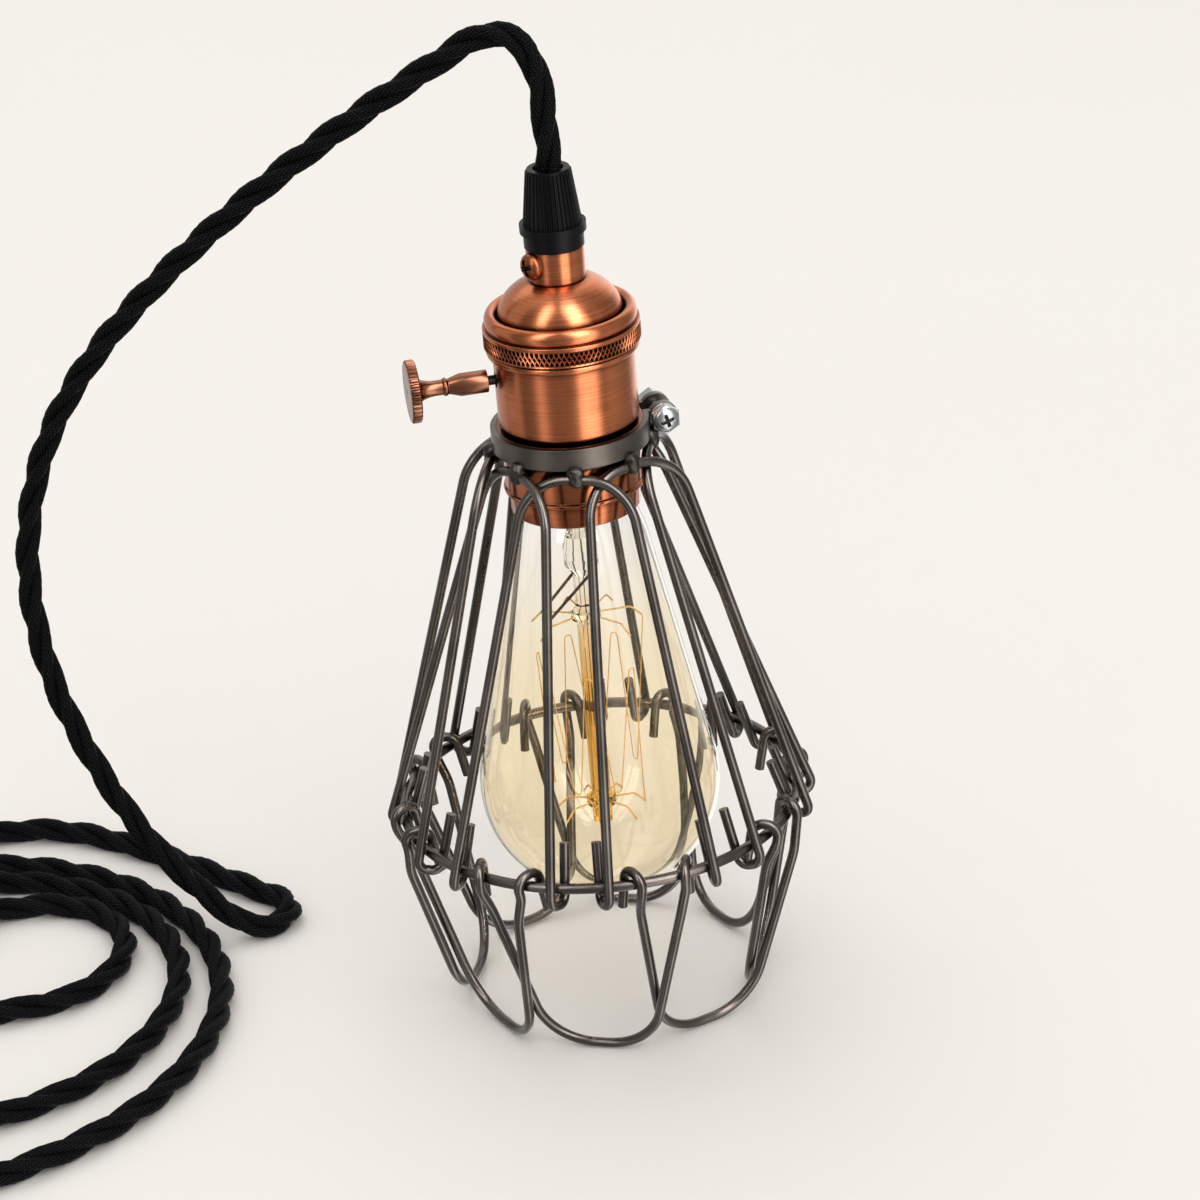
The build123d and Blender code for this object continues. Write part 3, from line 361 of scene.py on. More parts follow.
def rounded(points, radius, steps=4, flat=150, share=0.4, least=1e-6):
    # Outline with its corners turned into small arcs; points on the axis and on nearly straight runs stay
    made = []
    count = len(points)
    for index in range(count):
        before, here, after = (Vector(points[(index + k) % count]) for k in (-1, 0, 1))
        first, second = before - here, after - here
        shorter = min(first.length, second.length)
        bend = first.angle(second, math.pi)
        if here.x == 0 or bend > math.radians(flat) or shorter < least:
            made.append(here)
            continue
        reach = min(radius / math.tan(bend / 2), share * shorter)
        start, end = here + first.normalized() * reach, here + second.normalized() * reach
        for step in range(steps + 1):
            t = step / steps
            made.append(start * (1 - t) ** 2 + here * 2 * t * (1 - t) + end * t ** 2)
    return made


def meshFrom(bm, angle=35):
    mesh = bpy.data.meshes.new("made")
    bm.to_mesh(mesh)
    bm.free()
    smoothMesh(mesh, angle)
    return mesh


def spunMesh(profile, segments=192, angle=35):
    # Profile of radius and height in millimetres, spun about Z: a closed loop, or both ends on the axis
    bm = bmesh.new()
    corners = [bm.verts.new((radius * mm, 0, height * mm)) for radius, height in profile]
    onAxis = profile[0][0] == 0 and profile[-1][0] == 0
    loop = corners if onAxis else corners + corners[:1]
    edges = [bm.edges.new(pair) for pair in zip(loop, loop[1:])]
    bmesh.ops.spin(
        bm, geom=corners + edges, cent=(0, 0, 0), axis=(0, 0, 1), dvec=(0, 0, 0),
        angle=2 * math.pi, steps=segments, use_merge=True,
    )
    bmesh.ops.remove_doubles(bm, verts=bm.verts, dist=weldGap)
    bmesh.ops.recalc_face_normals(bm, faces=bm.faces)
    return meshFrom(bm, angle)


def joinedMesh(meshes, angle=35):
    bm = bmesh.new()
    for mesh in meshes:
        bm.from_mesh(mesh)
    return meshFrom(bm, angle)


def poseAlong(place, axis, up=Vector((0, 0, 1))):
    side = up.cross(axis).normalized()
    made = Matrix((side, axis.cross(side), axis)).transposed().to_4x4()
    made.translation = place * mm
    return made


def ellipsePoints(middle, across, up, start, end, steps):
    # Arc of an ellipse about the axis, between two angles in degrees
    made = []
    for step in range(steps + 1):
        turn = math.radians(start + (end - start) * step / steps)
        made.append((across * math.cos(turn), middle + up * math.sin(turn)))
    return made


# Cord: three twisted strands of braided cloth on one line, from the grip to the plug
cordSpec = {
    "diameter": 7.0,
    "strands": 3,
    "strand": 1.72,
    "lay": 1.78,
    "pitch": 46.0,
    "sides": 10,
    "step": 2.2,
    "curveSteps": 24,
    "curveOrder": 3,
    "length": 1.85,
    "floor": 3.5,
    "rightHalves": [((-192.5, 31), 87), ((-182.2, 39.5), 66), ((-158.5, 56.5), 29)],
    "leftMiddles": [-192.5, -192.5, -198],
    "halfPoints": 8,
    "route": [
        (0, 0, 223.3), (0.4, -0.2, 241), (0, 0, 254), (-2.5, 1.4, 264), (-11, 6.1, 268),
        (-24, 13.4, 258.5), (-44, 24.5, 244), (-70, 39, 223), (-97, 54, 197.5),
        (-119, 66.3, 171.5), (-134, 74.6, 144), (-141.5, 78.8, 112), (-140, 78, 80),
        (-131, 73, 52), (-119.5, 66.5, 29), (-107, 58.8, 14), (-95, 51, 3.5), (-86.5, 51, 3.5),
        (-81.5, 57.5, 3.5), (-83.5, 65.5, 3.5), (-91, 74, 3.5), (-106, 93, 3.5), (-123, 113, 3.5),
        (-139.5, 127.5, 3.5), (-155, 133, 3.5), (-172, 133, 3.5),
    ],
}


def halfTurn(centre, radius, start, count, height):
    # Control points of half a turn of the coil, on the corners of a polygon round it
    step = math.pi / count
    reach = radius / math.cos(step / 2)
    made = []
    for index in range(count):
        turn = start + step * (index + 0.5)
        made.append((centre[0] + reach * math.cos(turn), centre[1] + reach * math.sin(turn), height))
    return made


def cordPoints(spec):
    # The route, then the coil: left and right halves by turns, each as wide as it takes to meet the next
    points = list(spec["route"])
    top = spec["route"][-1][1]
    for left, (centre, radius) in zip(spec["leftMiddles"], spec["rightHalves"]):
        foot = centre[1] - radius
        swing = (top - foot) / 2
        points += halfTurn((left, foot + swing), swing, math.pi / 2, spec["halfPoints"], spec["floor"])
        points += halfTurn(centre, radius, -math.pi / 2, spec["halfPoints"], spec["floor"])
        top = centre[1] + radius
    points.append((spec["rightHalves"][-1][0][0] - spec["diameter"], top, spec["floor"]))
    return points


def splineLine(spec):
    # Points read along a smooth curve that has the route as its control points
    points = cordPoints(spec)
    curve = bpy.data.curves.new("cordRoute", "CURVE")
    curve.dimensions = "3D"
    curve.resolution_u = spec["curveSteps"]
    spline = curve.splines.new("NURBS")
    spline.points.add(len(points) - 1)
    for target, point in zip(spline.points, points):
        target.co = (*(value * mm for value in point), 1)
    spline.order_u = spec["curveOrder"]
    spline.use_endpoint_u = True
    holder = bpy.data.objects.new("cordRoute", curve)
    bpy.context.scene.collection.objects.link(holder)
    bpy.context.view_layer.update()
    mesh = bpy.data.meshes.new_from_object(holder)
    line = [vertex.co.copy() for vertex in mesh.vertices]
    bpy.data.objects.remove(holder)
    bpy.data.meshes.remove(mesh)
    return line


def evenLine(line, step, least=0.3):
    # The same line with its points a fixed step apart, and its end where that leaves no very short step
    made = [line[0]]
    left = step
    for first, second in zip(line, line[1:]):
        run = (second - first).length
        done = 0.0
        while run - done >= left:
            done += left
            made.append(first.lerp(second, done / run))
            left = step
        left -= run - done
    if (made[-1] - line[-1]).length > step * least:
        made.append(line[-1])
    return made


def carriedFrames(line):
    # Direction and two square directions at each point, with no twist of their own
    frames = []
    side = Vector((1, 0, 0))
    for index, point in enumerate(line):
        ahead = line[min(index + 1, len(line) - 1)] - line[max(index - 1, 0)]
        ahead.normalize()
        side = (side - ahead * side.dot(ahead)).normalized()
        frames.append((ahead, side, ahead.cross(side)))
    return frames


def makeCord(spec):
    line = evenLine(splineLine(spec), spec["step"] * mm)
    frames = carriedFrames(line)
    strand, lay, sides = spec["strand"] * mm, spec["lay"] * mm, spec["sides"]
    rate = 2 * math.pi / (spec["pitch"] * mm)
    bm = bmesh.new()
    uv = bm.loops.layers.uv.new("UVMap")
    girth = 2 * math.pi * spec["strand"]
    for number in range(spec["strands"]):
        rings = []
        travelled = 0.0
        for index, (point, (ahead, side, over)) in enumerate(zip(line, frames)):
            if index:
                travelled += (point - line[index - 1]).length
            turn = rate * travelled + number * 2 * math.pi / spec["strands"]
            out = side * math.cos(turn) + over * math.sin(turn)
            sideways = over * math.cos(turn) - side * math.sin(turn)
            along = (ahead + sideways * rate * lay).normalized()
            square = along.cross(out).normalized()
            centre = point + out * lay
            ring = []
            for corner in range(sides):
                angle = 2 * math.pi * corner / sides
                way = out * math.cos(angle) + square * math.sin(angle)
                ring.append(bm.verts.new(centre + way * strand))
            rings.append((ring, travelled / mm))
        for (first, low), (second, high) in zip(rings, rings[1:]):
            for corner in range(sides):
                after = (corner + 1) % sides
                face = bm.faces.new((first[corner], first[after], second[after], second[corner]))
                face.smooth = True
                left, right = corner * girth / sides, (corner + 1) * girth / sides
                places = ((left, low), (right, low), (right, high), (left, high))
                for loop, place in zip(face.loops, places):
                    loop[uv].uv = place
        bm.faces.new(rings[0][0][::-1])
        bm.faces.new(rings[-1][0])
    bmesh.ops.recalc_face_normals(bm, faces=bm.faces)
    mesh = bpy.data.meshes.new("cord")
    bm.to_mesh(mesh)
    bm.free()
    made = newPiece("cord", mesh, braid, "lamp", "braid", "cord_arch", "cord_coil")


makeCord(cordSpec)
print("cord made")

# Lampholder: heights of its parts above the table, in millimetres
heights = {
    "rim": 140.9, "rimTop": 146.5, "band": 158.5, "bandTop": 164.1, "shell": 165.0, "switch": 178.0,
    "shellTop": 190.1, "knurlTop": 191.2, "spring": 193.8, "beadTop": 195.4, "crown": 203.2, "neckTop": 211.9,
}

# Neck and domed cap
neckSpec = {"inner": 5.05, "outer": 7.4, "edge": 0.35}
neckOutline = [
    (neckSpec["inner"], heights["crown"]), (neckSpec["outer"], heights["crown"]),
    (neckSpec["outer"], heights["neckTop"]), (neckSpec["inner"], heights["neckTop"]),
]
newPiece("neck", spunMesh(rounded(neckOutline, neckSpec["edge"])), copper, "lamp", "copper", "cap_neck")

domeSpec = {
    "radius": 15.95, "up": 10.61, "crownAngle": 62.36, "innerAngle": 61.2, "outerSteps": 28, "innerSteps": 20,
    "sheet": 0.8, "flange": 18.1, "hole": 5.05, "play": 0.1, "edge": 0.25,
}


def domeOutline(spec):
    spring, sheet = heights["spring"], spec["sheet"]
    inner = spec["radius"] - sheet
    outside = ellipsePoints(spring, spec["radius"], spec["up"], 0, spec["crownAngle"], spec["outerSteps"])
    inside = ellipsePoints(spring, inner, spec["up"] - sheet, 0, spec["innerAngle"], spec["innerSteps"])
    crown = [(spec["hole"], heights["crown"]), (spec["hole"], heights["crown"] - sheet)]
    low, high = heights["shellTop"] + spec["play"], heights["knurlTop"] - spec["play"] / 2
    flange = [(inner, low), (spec["flange"], low), (spec["flange"], high), (spec["radius"], high)]
    return outside + crown + inside[::-1] + flange


domeMesh = spunMesh(rounded(domeOutline(domeSpec), domeSpec["edge"]))
newPiece("dome", domeMesh, copper, "lamp", "copper", "socket_cap")

# Collar: rolled lip, band with diamond pits and rolled bead, turned as one ring with the pits then pushed in.
# Pits are painted dark where the attribute is low, partly patina and partly painted shade, and a value below
# 0 spreads the dark up their sides.
collarSpec = {
    "inner": 18.2, "bottom": 184.0, "lip": 19.6, "lipRoll": 0.6, "lipTop": 185.8, "lipSteps": 10,
    "groove": 19.0, "knurl": 20.1, "knurlLow": 186.0, "knurlHigh": 190.6, "bandTop": 191.4,
    "bead": 19.5, "beadInner": 16.35, "beadFoot": 0.45, "beadUp": 0.55, "beadStart": -30, "beadEnd": 165,
    "beadSteps": 16, "diamonds": 98, "rows": 4, "depth": 0.55, "pitPatinaShadeSpread": -1.3, "chamfer": 0.2, "edge": 0.2,
    "sharp": 30,
}


def collarOutline(spec, rowHeights):
    half = (spec["lipTop"] - spec["bottom"]) / 2
    roll = ellipsePoints(spec["bottom"] + half, spec["lipRoll"], half, -90, 90, spec["lipSteps"])
    outline = [(spec["beadInner"], heights["knurlTop"]), (spec["inner"], heights["knurlTop"])]
    outline += [(spec["inner"], spec["bottom"])]
    outline += [(spec["lip"] - spec["lipRoll"] + across, height) for across, height in roll]
    outline += [(spec["groove"], spec["knurlLow"])]
    outline += [(spec["knurl"], height) for height in rowHeights]
    outline += [(spec["knurl"], spec["bandTop"]), (spec["bead"] - spec["beadFoot"], spec["bandTop"])]
    middle, across = (spec["bead"] + spec["beadInner"]) / 2, (spec["bead"] - spec["beadInner"]) / 2
    up = spec["beadUp"] * (heights["beadTop"] - heights["knurlTop"])
    start, end = spec["beadStart"], spec["beadEnd"]
    bead = ellipsePoints(heights["beadTop"] - up, across, up, start, end, spec["beadSteps"])
    return outline + [(middle + reach, height) for reach, height in bead]


def makeCollar(spec):
    rows, low = spec["rows"], spec["knurlLow"] + spec["chamfer"]
    rise = (spec["knurlHigh"] - low) / rows
    outline = collarOutline(spec, [low + rise * row for row in range(rows + 1)])
    bm = bmesh.new()
    bm.from_mesh(spunMesh(rounded(outline, spec["edge"]), 2 * spec["diamonds"]))
    pitPatinaShade = bm.verts.layers.float.new("pitPatinaShade")
    pitted = set()
    for vertex in bm.verts:
        reach, row = vertex.co.xy.length / mm, (vertex.co.z / mm - low) / rise
        column = round(math.atan2(vertex.co.y, vertex.co.x) * spec["diamonds"] / math.pi)
        banded = reach > spec["knurl"] - spec["edge"] and 0.5 < row < rows - 0.5
        sunk = banded and (round(row) + column) % 2 == 0  # every second point, like a chessboard
        if sunk:
            vertex.co.xy *= 1 - spec["depth"] / reach
            pitted.update(vertex.link_faces)
        # Low in the pits for their patina and painted shade, 1 on the ridges
        vertex[pitPatinaShade] = spec["pitPatinaShadeSpread"] if sunk else 1.0
    bmesh.ops.triangulate(bm, faces=list(pitted), quad_method="LONG_EDGE")
    return meshFrom(bm, spec["sharp"])


newPiece("collar", makeCollar(collarSpec), knurledCopper, "lamp", "copper", "collar_ring")

# Shell, lower shell and rim
shellSpec = {
    "outer": 18.1, "sheet": 0.8, "edge": 0.9, "edgeSteps": 8, "mouth": 15.7, "corner": 0.1, "hole": 2.15,
    "holeSides": 48,
}


def shellOutline(spec):
    low, edge = heights["shell"], spec["edge"]
    middle, inside = spec["outer"] - edge, spec["outer"] - spec["sheet"]
    made = ellipsePoints(low + edge, edge, edge, -90, 0, spec["edgeSteps"])
    made = [(middle + across, height) for across, height in made]
    made += [(spec["outer"], heights["shellTop"]), (inside, heights["shellTop"])]
    return made + [(inside, low + spec["sheet"]), (spec["mouth"], low + spec["sheet"]), (spec["mouth"], low)]


def drilledShell(spec):
    # A hole through the wall on the switch's side
    uncut = bpy.data.objects.new("uncutShell", spunMesh(rounded(shellOutline(spec), spec["corner"])))
    bm = bmesh.new()
    pose = poseAlong(Vector((-spec["outer"], 0, heights["switch"])), Vector((-1, 0, 0)))
    size = {"radius1": spec["hole"] * mm, "radius2": spec["hole"] * mm, "depth": spec["outer"] * mm}
    bmesh.ops.create_cone(bm, cap_ends=True, segments=spec["holeSides"], matrix=pose, **size)
    drill = bpy.data.objects.new("drill", meshFrom(bm))
    for made in (uncut, drill):
        bpy.context.scene.collection.objects.link(made)
    cut = uncut.modifiers.new("hole", "BOOLEAN")
    cut.operation, cut.solver, cut.object = "DIFFERENCE", "EXACT", drill
    mesh = bpy.data.meshes.new_from_object(uncut.evaluated_get(bpy.context.evaluated_depsgraph_get()))
    for made in (uncut, drill):
        bpy.data.objects.remove(made)
    smoothMesh(mesh)
    return mesh


newPiece("shell", drilledShell(shellSpec), copper, "lamp", "copper", "socket_shell")

lowerSpec = {
    "outer": 17.7, "belt": 18.85, "bead": 18.3, "beadHeight": 1.6, "beadFlat": 0.45, "beadRound": 0.1,
    "neck": 15.6, "sheet": 0.8, "flange": 16.1, "flangeRise": 1.0, "corner": 0.15,
}


def lowerOutline(spec):
    outer, neck, sheet, foot = spec["outer"], spec["neck"], spec["sheet"], heights["rimTop"]
    flange = heights["shell"] + spec["flangeRise"]
    middle, shoulder = foot + spec["beadHeight"] / 2, spec["bead"] - spec["beadRound"]
    low, high = middle - spec["beadFlat"], middle + spec["beadFlat"]
    bead = [(shoulder, low), (spec["bead"], middle), (shoulder, high)]
    outside = [
        (outer, foot), *bead, (outer, foot + spec["beadHeight"]), (outer, heights["band"]),
        (spec["belt"], heights["band"]), (spec["belt"], heights["bandTop"]), (neck, heights["bandTop"]),
        (neck, flange), (spec["flange"], flange), (spec["flange"], flange + sheet),
    ]
    inside = [
        (neck - sheet, flange + sheet), (neck - sheet, heights["bandTop"] - sheet),
        (outer - sheet, heights["bandTop"] - sheet), (outer - sheet, foot),
    ]
    return outside + inside


lowerMesh = spunMesh(rounded(lowerOutline(lowerSpec), lowerSpec["corner"]))
newPiece("lowerShell", lowerMesh, polishedCopper, "lamp", "copper", "lower_shell")

rimSpec = {"outer": 16.8, "inner": 15.8, "tuck": 1.6, "edge": 0.45}
rimTop = heights["rimTop"] + rimSpec["tuck"]
rimOutline = [
    (rimSpec["inner"], heights["rim"]), (rimSpec["outer"], heights["rim"]),
    (rimSpec["outer"], rimTop), (rimSpec["inner"], rimTop),
]
newPiece("rim", spunMesh(rounded(rimOutline, rimSpec["edge"])), polishedCopper, "lamp", "copper", "rim_ring")
print("lampholder made")

# Switch knob: turned stalk and a serrated disc, with its distances measured out along the switch's axis
knobSpec = {
    "bore": 1.35, "boreEnd": 35.7, "start": 20.2, "ferrule": 2.95, "ferruleEnd": 27.2, "stalk": 2.0,
    "beadStart": 30.3, "beadEnd": 31.8, "bead": 2.4, "beadSteps": 7, "flareStart": 33.4, "flareSteps": 12,
    "flareCut": 0.98, "flareScale": 0.86, "root": 3.85, "disc": 38.1, "thick": 2.6, "radius": 8.1,
    "back": 0.94, "rim": 0.95, "middle": 0.5, "chamfer": 0.35, "teeth": 36, "depth": 0.42, "toothFoot": 0.93,
    "dot": 0.45, "dotFloor": 0.8, "dotDepth": 0.3, "edge": 0.15, "sharp": 28,
}


def knobOutline(spec):
    stalk, radius, face = spec["stalk"], spec["radius"], spec["disc"] + spec["thick"]
    outline = [(0, spec["boreEnd"]), (spec["bore"], spec["boreEnd"]), (spec["bore"], spec["start"])]
    outline += [(spec["ferrule"], spec["start"]), (spec["ferrule"], spec["ferruleEnd"])]
    outline += [(stalk, spec["beadStart"])]
    for step in range(1, spec["beadSteps"] + 1):
        t = step / spec["beadSteps"]
        swell = (spec["bead"] - stalk) * math.sin(math.pi * t)
        outline.append((stalk + swell, spec["beadStart"] + (spec["beadEnd"] - spec["beadStart"]) * t))
    for step in range(spec["flareSteps"] + 1):
        t = step / spec["flareSteps"]
        flare = (1 - math.sqrt(1 - t * t * spec["flareCut"])) / spec["flareScale"]
        along = spec["flareStart"] + (spec["disc"] - spec["flareStart"]) * t
        outline.append((stalk + (spec["root"] - stalk) * flare, along))
    floor = face - spec["dotDepth"]
    outline += [
        (spec["back"] * radius, spec["disc"]), (radius, spec["disc"] + spec["chamfer"]),
        (radius, face - spec["chamfer"]), (spec["rim"] * radius, face), (spec["middle"] * radius, face),
        (spec["dot"], face), (spec["dotFloor"] * spec["dot"], floor), (0, floor),
    ]
    return outline


def makeKnob(spec):
    # Four points to a tooth, of which two are pulled in for the gap after it
    mesh = spunMesh(rounded(knobOutline(spec), spec["edge"]), 4 * spec["teeth"])
    for vertex in mesh.vertices:
        reach = vertex.co.xy.length / mm
        column = round(math.atan2(vertex.co.y, vertex.co.x) * 2 * spec["teeth"] / math.pi)
        share = (reach / spec["radius"] - spec["toothFoot"]) / (1 - spec["toothFoot"])
        if share > 0 and column % 4 > 1:
            vertex.co.xy *= 1 - spec["depth"] * min(share, 1) / reach
    mesh.transform(poseAlong(Vector((0, 0, heights["switch"])), Vector((-1, 0, 0))))
    smoothMesh(mesh, spec["sharp"])
    return mesh


newPiece("switchKnob", makeKnob(knobSpec), knobCopper, "switch_knob", "dark_copper", "knob")

# Screw heads: a crowned disc with a cross recess, on the neck and on the clamp
screwSpec = {
    "place": 7.4, "azimuth": 208, "height": 208.2, "radius": 3.45, "foot": -0.9, "base": 0.35, "crown": 2.35,
    "rings": 34, "sides": 120, "slotHalf": 0.52, "slotReach": 2.2, "slotDepth": 1.5, "slotRun": 0.5,
    "turn": 20, "sharp": 40,
}
boltSpec = {
    "azimuth": 6, "place": 23.9, "height": 161.8, "face": 4.8, "across": 7.0, "hex": 2.0, "hexEdge": 0.25,
    "shank": 2.0, "shankSides": 32, "shankEdge": 0.3, "end": -8.7, "radius": 3.3, "foot": -0.2, "base": 0.0,
    "crown": 1.2, "rings": 30, "sides": 120, "slotHalf": 0.42, "slotReach": 1.9, "slotDepth": 0.8,
    "slotRun": 0.5, "turn": 15, "sharp": 30,
}


def crossHead(spec, pose, least=0.01):
    # What lies inside the cross is pushed down, and gets the second material, which paints the shade in the
    # recess
    crown = ellipsePoints(spec["base"], spec["radius"], spec["crown"], 90, 0, spec["rings"])
    profile = [(0, crown[0][1])] + crown[1:] + [(spec["radius"], spec["foot"]), (0, spec["foot"])]
    mesh = spunMesh(profile, spec["sides"])
    sunk = set()
    for vertex in mesh.vertices:
        near, far = sorted((abs(vertex.co.x) / mm, abs(vertex.co.y) / mm))
        crowned = vertex.co.z / mm > spec["base"] + least
        if crowned and near < spec["slotHalf"] and far < spec["slotReach"]:
            share = min(1.0, (spec["slotReach"] - far) / spec["slotRun"])
            vertex.co.z -= spec["slotDepth"] * share * mm
            sunk.add(vertex.index)
    for face in mesh.polygons:
        face.material_index = int(all(index in sunk for index in face.vertices))
    mesh.transform(pose @ Matrix.Rotation(math.radians(spec["turn"]), 4, "Z"))
    return mesh


def makeSetScrew(spec):
    turn = math.radians(spec["azimuth"])
    axis = Vector((math.cos(turn), math.sin(turn), 0))
    mesh = crossHead(spec, poseAlong(axis * spec["place"] + Vector((0, 0, spec["height"])), axis))
    smoothMesh(mesh, spec["sharp"])
    return mesh


setScrew = newPiece("setScrew", makeSetScrew(screwSpec), screwCopper, "lamp", "dark_copper", "set_screw")
# Second material: painted shade in the cross recess
setScrew.data.materials.append(slotPaintedShade)


def bevelledBar(pose, radius, sides, low, high, edge):
    # Straight bar along the pose's axis with the edges of its ends bevelled
    bm = bmesh.new()
    middle = Matrix.Translation((0, 0, (low + high) / 2 * mm))
    size = {"radius1": radius * mm, "radius2": radius * mm, "depth": (high - low) * mm}
    bmesh.ops.create_cone(bm, cap_ends=True, segments=sides, matrix=middle, **size)
    rims = [rim for rim in bm.edges if abs(rim.verts[0].co.z - rim.verts[1].co.z) < weldGap]
    bmesh.ops.bevel(bm, geom=rims, offset=edge * mm, affect="EDGES", segments=2, profile=0.5, material=-1)
    bmesh.ops.recalc_face_normals(bm, faces=bm.faces)
    bmesh.ops.transform(bm, matrix=pose, verts=bm.verts)
    return meshFrom(bm)


def makeBolt(spec):
    turn = math.radians(spec["azimuth"])
    out = Vector((math.cos(turn), math.sin(turn), 0))
    axis = Vector((math.sin(turn), -math.cos(turn), 0))
    pose = poseAlong(out * spec["place"] + Vector((0, 0, spec["height"])), axis)
    top = spec["face"] + spec["hex"]
    head = crossHead(spec, pose @ Matrix.Translation((0, 0, top * mm)))
    hexagon = bevelledBar(pose, spec["across"] / math.sqrt(3), 6, spec["face"], top, spec["hexEdge"])
    length = (spec["end"], spec["face"])
    shank = bevelledBar(pose, spec["shank"], spec["shankSides"], *length, spec["shankEdge"])
    return joinedMesh((head, hexagon, shank), spec["sharp"])


clampBolt = newPiece("clampBolt", makeBolt(boltSpec), zincSteel, "lamp", "zinc_steel", "clamp_bolt")
# Second material: painted shade in the cross recess
clampBolt.data.materials.append(slotPaintedShade)

# Lugs under the band: eight rough lumps of weld, each round the top of a hairpin
lugSpec = {
    "count": 8, "azimuth": 36.8, "place": 20.5, "low": 153.9, "high": 159.7, "radius": 2.15, "barrel": 4,
    "rough": 0.42, "lump": 1.25, "grit": 0.53, "gritShare": 0.5, "rings": 22, "sides": 28, "sharp": 60,
}


def makeLugs(spec):
    bm = bmesh.new()
    half = (spec["high"] - spec["low"]) / 2
    for number in range(spec["count"]):
        turn = math.radians(spec["azimuth"] + number * 360 / spec["count"])
        across, along = spec["place"] * math.cos(turn), spec["place"] * math.sin(turn)
        middle = Vector((across, along, spec["low"] + half))
        counts = {"u_segments": spec["sides"], "v_segments": spec["rings"]}
        ball = bmesh.ops.create_uvsphere(bm, radius=1, **counts)
        for vertex in ball["verts"]:
            up = vertex.co.z
            way = Vector((vertex.co.x, vertex.co.y, 0)).normalized()
            swell = spec["radius"] * math.sqrt(max(0.0, 1 - up ** spec["barrel"]))  # barrel with round ends
            place = middle + way * swell + Vector((0, 0, half * up))
            rough = mathutils.noise.noise(place / spec["lump"])
            rough += spec["gritShare"] * mathutils.noise.noise(place / spec["grit"])
            vertex.co = (place + way * rough * spec["rough"]) * mm
    bmesh.ops.recalc_face_normals(bm, faces=bm.faces)
    return meshFrom(bm, spec["sharp"])


newPiece("bandLugs", makeLugs(lugSpec), weldSteel, "lamp", "band_steel", "band_clips")
print("switch and screws made")

# Bulb glass: thin shell with a round bottom and a neck drawn in to the cap
bulbSpec = {
    "radius": 32.0, "middle": 61.0, "neck": 16.6, "neckHeight": 138.0, "seat": 12.4, "seatHeight": 144.1,
    "wall": 0.7, "bowlSteps": 48, "sideSteps": 9, "neckSteps": 8, "segments": 160,
}


def bulbCurve(spec, wall):
    radius = spec["radius"] - wall
    rise = spec["neckHeight"] - spec["middle"]
    run = math.hypot(spec["neck"], rise)
    side = math.atan2(rise, spec["neck"]) - math.acos(spec["radius"] / run)
    made = ellipsePoints(spec["middle"], radius, radius, -90, math.degrees(side), spec["bowlSteps"])
    made[0] = (0, spec["middle"] - radius)  # on the axis, without a rounding error
    start = Vector(made[-1])
    knee = Vector((spec["neck"] - wall, spec["neckHeight"]))
    seat = Vector((spec["seat"] - wall, spec["seatHeight"]))
    made += [tuple(start.lerp(knee, step / spec["sideSteps"])) for step in range(1, spec["sideSteps"])]
    bend = Vector(made[-1])
    for step in range(1, spec["neckSteps"] + 1):
        t = step / spec["neckSteps"]
        made.append(tuple(bend * (1 - t) ** 2 + knee * 2 * t * (1 - t) + seat * t ** 2))
    return made


bulbProfile = bulbCurve(bulbSpec, 0.0) + bulbCurve(bulbSpec, bulbSpec["wall"])[::-1]
bulbMesh = spunMesh(bulbProfile, bulbSpec["segments"])
newPiece("bulbGlass", bulbMesh, bulbGlass, "bulb", "amber_glass", "bulb_glass")
print("bulb made")

# CAD pieces that keep their shape
finishes = {
    "cord_grip": gripPlastic, "grip_nipple": zincSteel, "nipple_nut": zincSteel,
    "insulating_sleeve": liner, "lampholder_core": insulator, "screw_shell": brass, "centre_contact": brass,
    "terminal_screws": brass, "clamp_band": bandSteel, "clamp_washer": zincSteel,
    "clamp_nut": zincSteel, "cage_ring": cageSteel, "switch_shaft": shaftSteel,
    "bulb_cap": brass, "bulb_insulator": insulator, "bulb_contact": zincSteel,
    "bulb_stem": stemGlass, "upper_hooks": lampWire, "lower_hooks": lampWire, "filament": lampWire,
    "lead_wires": leadWire, "plug_body": plugPlastic, "plug_pins": brass,
}
wireCount = 8
for number in range(1, wireCount + 1):
    finishes[f"upper_wire_{number}"] = cageSteel
    finishes[f"lower_wire_{number}"] = cageSteel
for name, finish in finishes.items():
    nodes[name].data.materials.clear()
    nodes[name].data.materials.append(finish)
print("finishes set")

# Floor, world and lights
floorSpec = {
    "half": 6.0, "colour": "#f1eeea", "cloud": "#efece7", "cloudSize": 330, "roughness": 0.7, "shine": 0.2,
}


def makeFloor(spec):
    settings = {"Roughness": spec["roughness"], "Specular IOR Level": spec["shine"]}
    made, tree, shader = newMaterial("paleFloor", settings)
    place = addNode(tree, "ShaderNodeTexCoord", output="Object")
    patch = {"Scale": 1 / (spec["cloudSize"] * mm), "Detail": 2.0, "Roughness": 0.5}
    cloud = addNode(tree, "ShaderNodeTexNoise", patch, {"Vector": place})
    pair = {"data_type": "RGBA", colourA: linear(spec["colour"]), colourB: linear(spec["cloud"])}
    tone = addNode(tree, "ShaderNodeMix", pair, {mixShare: cloud}, colourOut)
    tree.links.new(tone, shader.inputs["Base Color"])
    bm = bmesh.new()
    bmesh.ops.create_grid(bm, x_segments=1, y_segments=1, size=spec["half"])
    mesh = bpy.data.meshes.new("floor")
    bm.to_mesh(mesh)
    bm.free()
    mesh.materials.append(made)
    floor = bpy.data.objects.new("floor", mesh)
    bpy.context.scene.collection.objects.link(floor)
    floor.visible_glossy = False  # shiny parts mirror the studio's panels in its place


makeFloor(floorSpec)

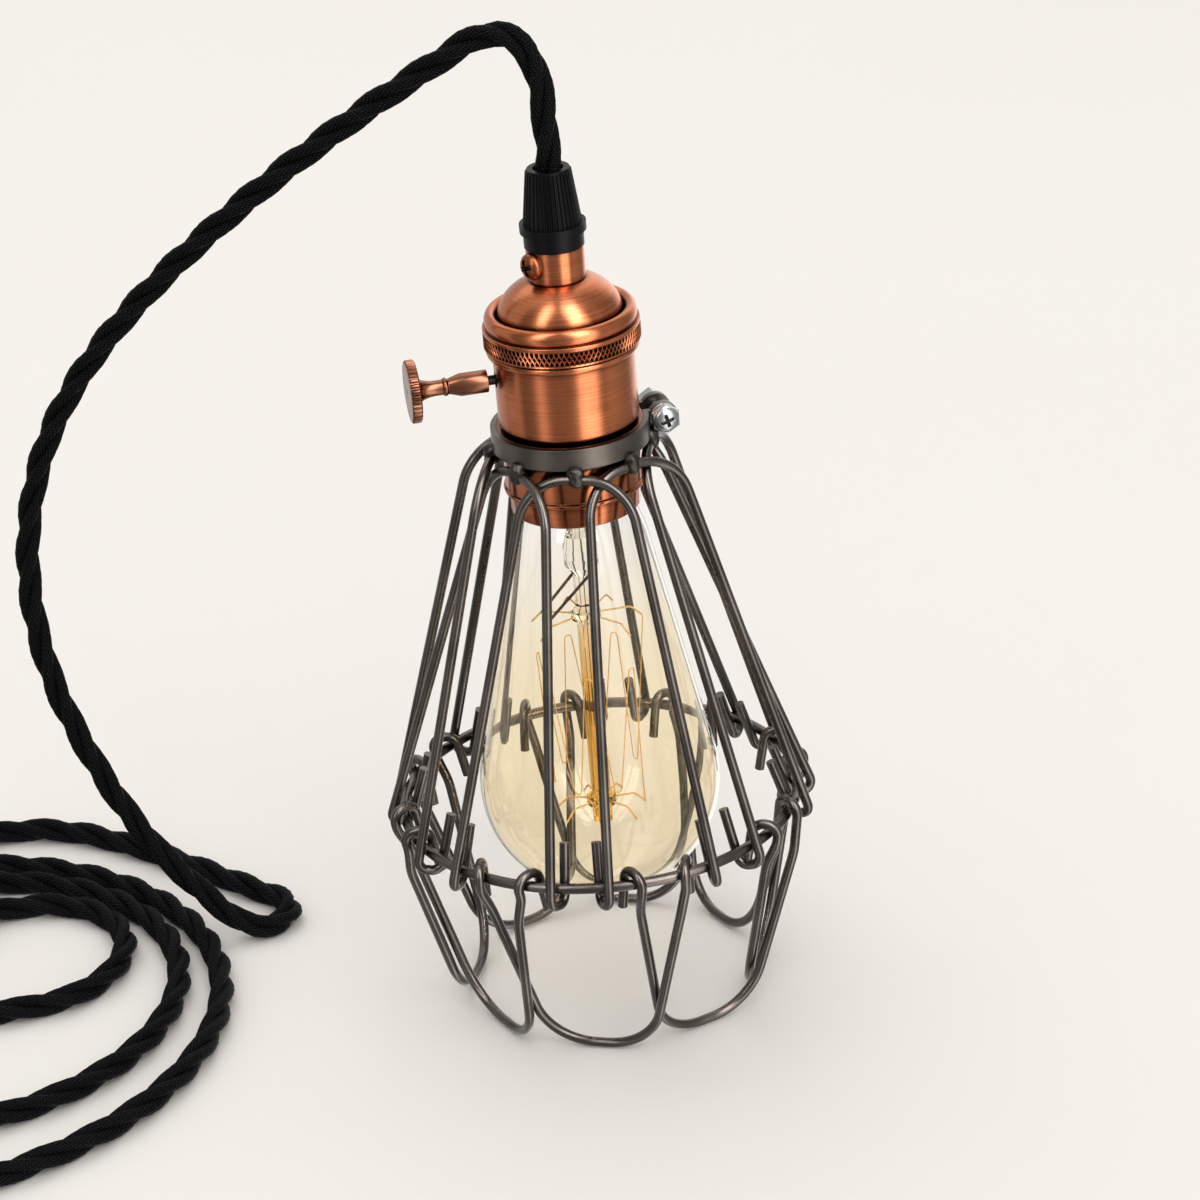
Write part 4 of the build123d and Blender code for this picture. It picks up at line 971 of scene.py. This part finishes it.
# Studio: even light on everything, and tall panels that only shiny parts mirror, as angle and brightness
worldSpec = {
    "colour": "#fffefc", "strength": 0.745, "dim": 0.14, "bright": 3.6,
    "panels": [
        (20, 0.07), (55, 0.43), (95, 0.17), (130, 0.16), (180, 0.02), (203, 0.05), (217, 0.32), (232, 0.05),
        (262, 0.07), (274, 0.1), (286, 0.85), (306, 0.85), (320, 0.08), (335, 0.16), (350, 0.12),
    ],
}


def makeWorld(spec):
    world = bpy.data.worlds.new("studio")
    bpy.context.scene.world = world
    world.use_nodes = True
    tree = world.node_tree
    sky = tree.nodes["Background"]
    sky.inputs["Color"].default_value = linear(spec["colour"])
    way = addNode(tree, "ShaderNodeTexCoord", output="Generated")
    turn = addNode(tree, "ShaderNodeTexGradient", {"gradient_type": "RADIAL"}, {"Vector": way}, "Fac")
    ramp = addNode(tree, "ShaderNodeValToRGB", links={"Fac": turn})
    ramp.node.color_ramp.interpolation = "EASE"
    stops = ramp.node.color_ramp.elements
    for index, (angle, level) in enumerate(spec["panels"]):
        place = ((angle + 180) % 360) / 360
        stop = stops[index] if index < 2 else stops.new(place)
        stop.position = place
        stop.color = (level, level, level, 1)
    reach = {"To Min": spec["dim"], "To Max": spec["bright"]}
    panel = addNode(tree, "ShaderNodeMapRange", reach, {"Value": ramp})
    shiny = addNode(tree, "ShaderNodeLightPath", output="Is Glossy Ray")
    strength = addNode(tree, "ShaderNodeMix", {levelA: spec["strength"]}, {mixShare: shiny, levelB: panel})
    tree.links.new(strength, sky.inputs["Strength"])


makeWorld(worldSpec)

# Two tall boxes that give highlights alone, and wide soft ones from behind and in front, in metres and watts
coolWhite, warmWhite = "#f7f5ff", "#fffdfb"
lights = {
    "leftBox": {
        "place": (-1.22, -1.18, 1.8), "size": (0.6, 2.6), "power": 28, "colour": coolWhite,
        "diffuse": False, "glossy": True,
    },
    "rightBox": {
        "place": (0.61, -1.59, 1.8), "size": (1.0, 2.6), "power": 48, "colour": coolWhite,
        "diffuse": False, "glossy": True,
    },
    "topBox": {
        "place": (-0.2, 1.1, 1.9), "size": (2.0, 2.0), "power": 10, "colour": warmWhite,
        "diffuse": True, "glossy": True,
    },
    "frontBox": {
        "place": (0.3, -1.9, 1.8), "size": (2.5, 2.5), "power": 25, "colour": warmWhite,
        "diffuse": True, "glossy": False,
    },
}
lightAim = Vector((0, 0, 0.12))  # middle of the cage
for name, spec in lights.items():
    data = bpy.data.lights.new(name, "AREA")
    data.shape = "RECTANGLE"
    data.size, data.size_y = spec["size"]
    data.energy = spec["power"]
    data.color = linear(spec["colour"])[:3]
    lamp = bpy.data.objects.new(name, data)
    bpy.context.scene.collection.objects.link(lamp)
    lamp.location = spec["place"]
    lamp.visible_diffuse, lamp.visible_glossy = spec["diffuse"], spec["glossy"]
    aim = lightAim - lamp.location
    lamp.rotation_mode = "QUATERNION"
    lamp.rotation_quaternion = aim.to_track_quat("-Z", "Y")
bpy.context.scene.view_settings.view_transform = "Standard"
print("stage made")
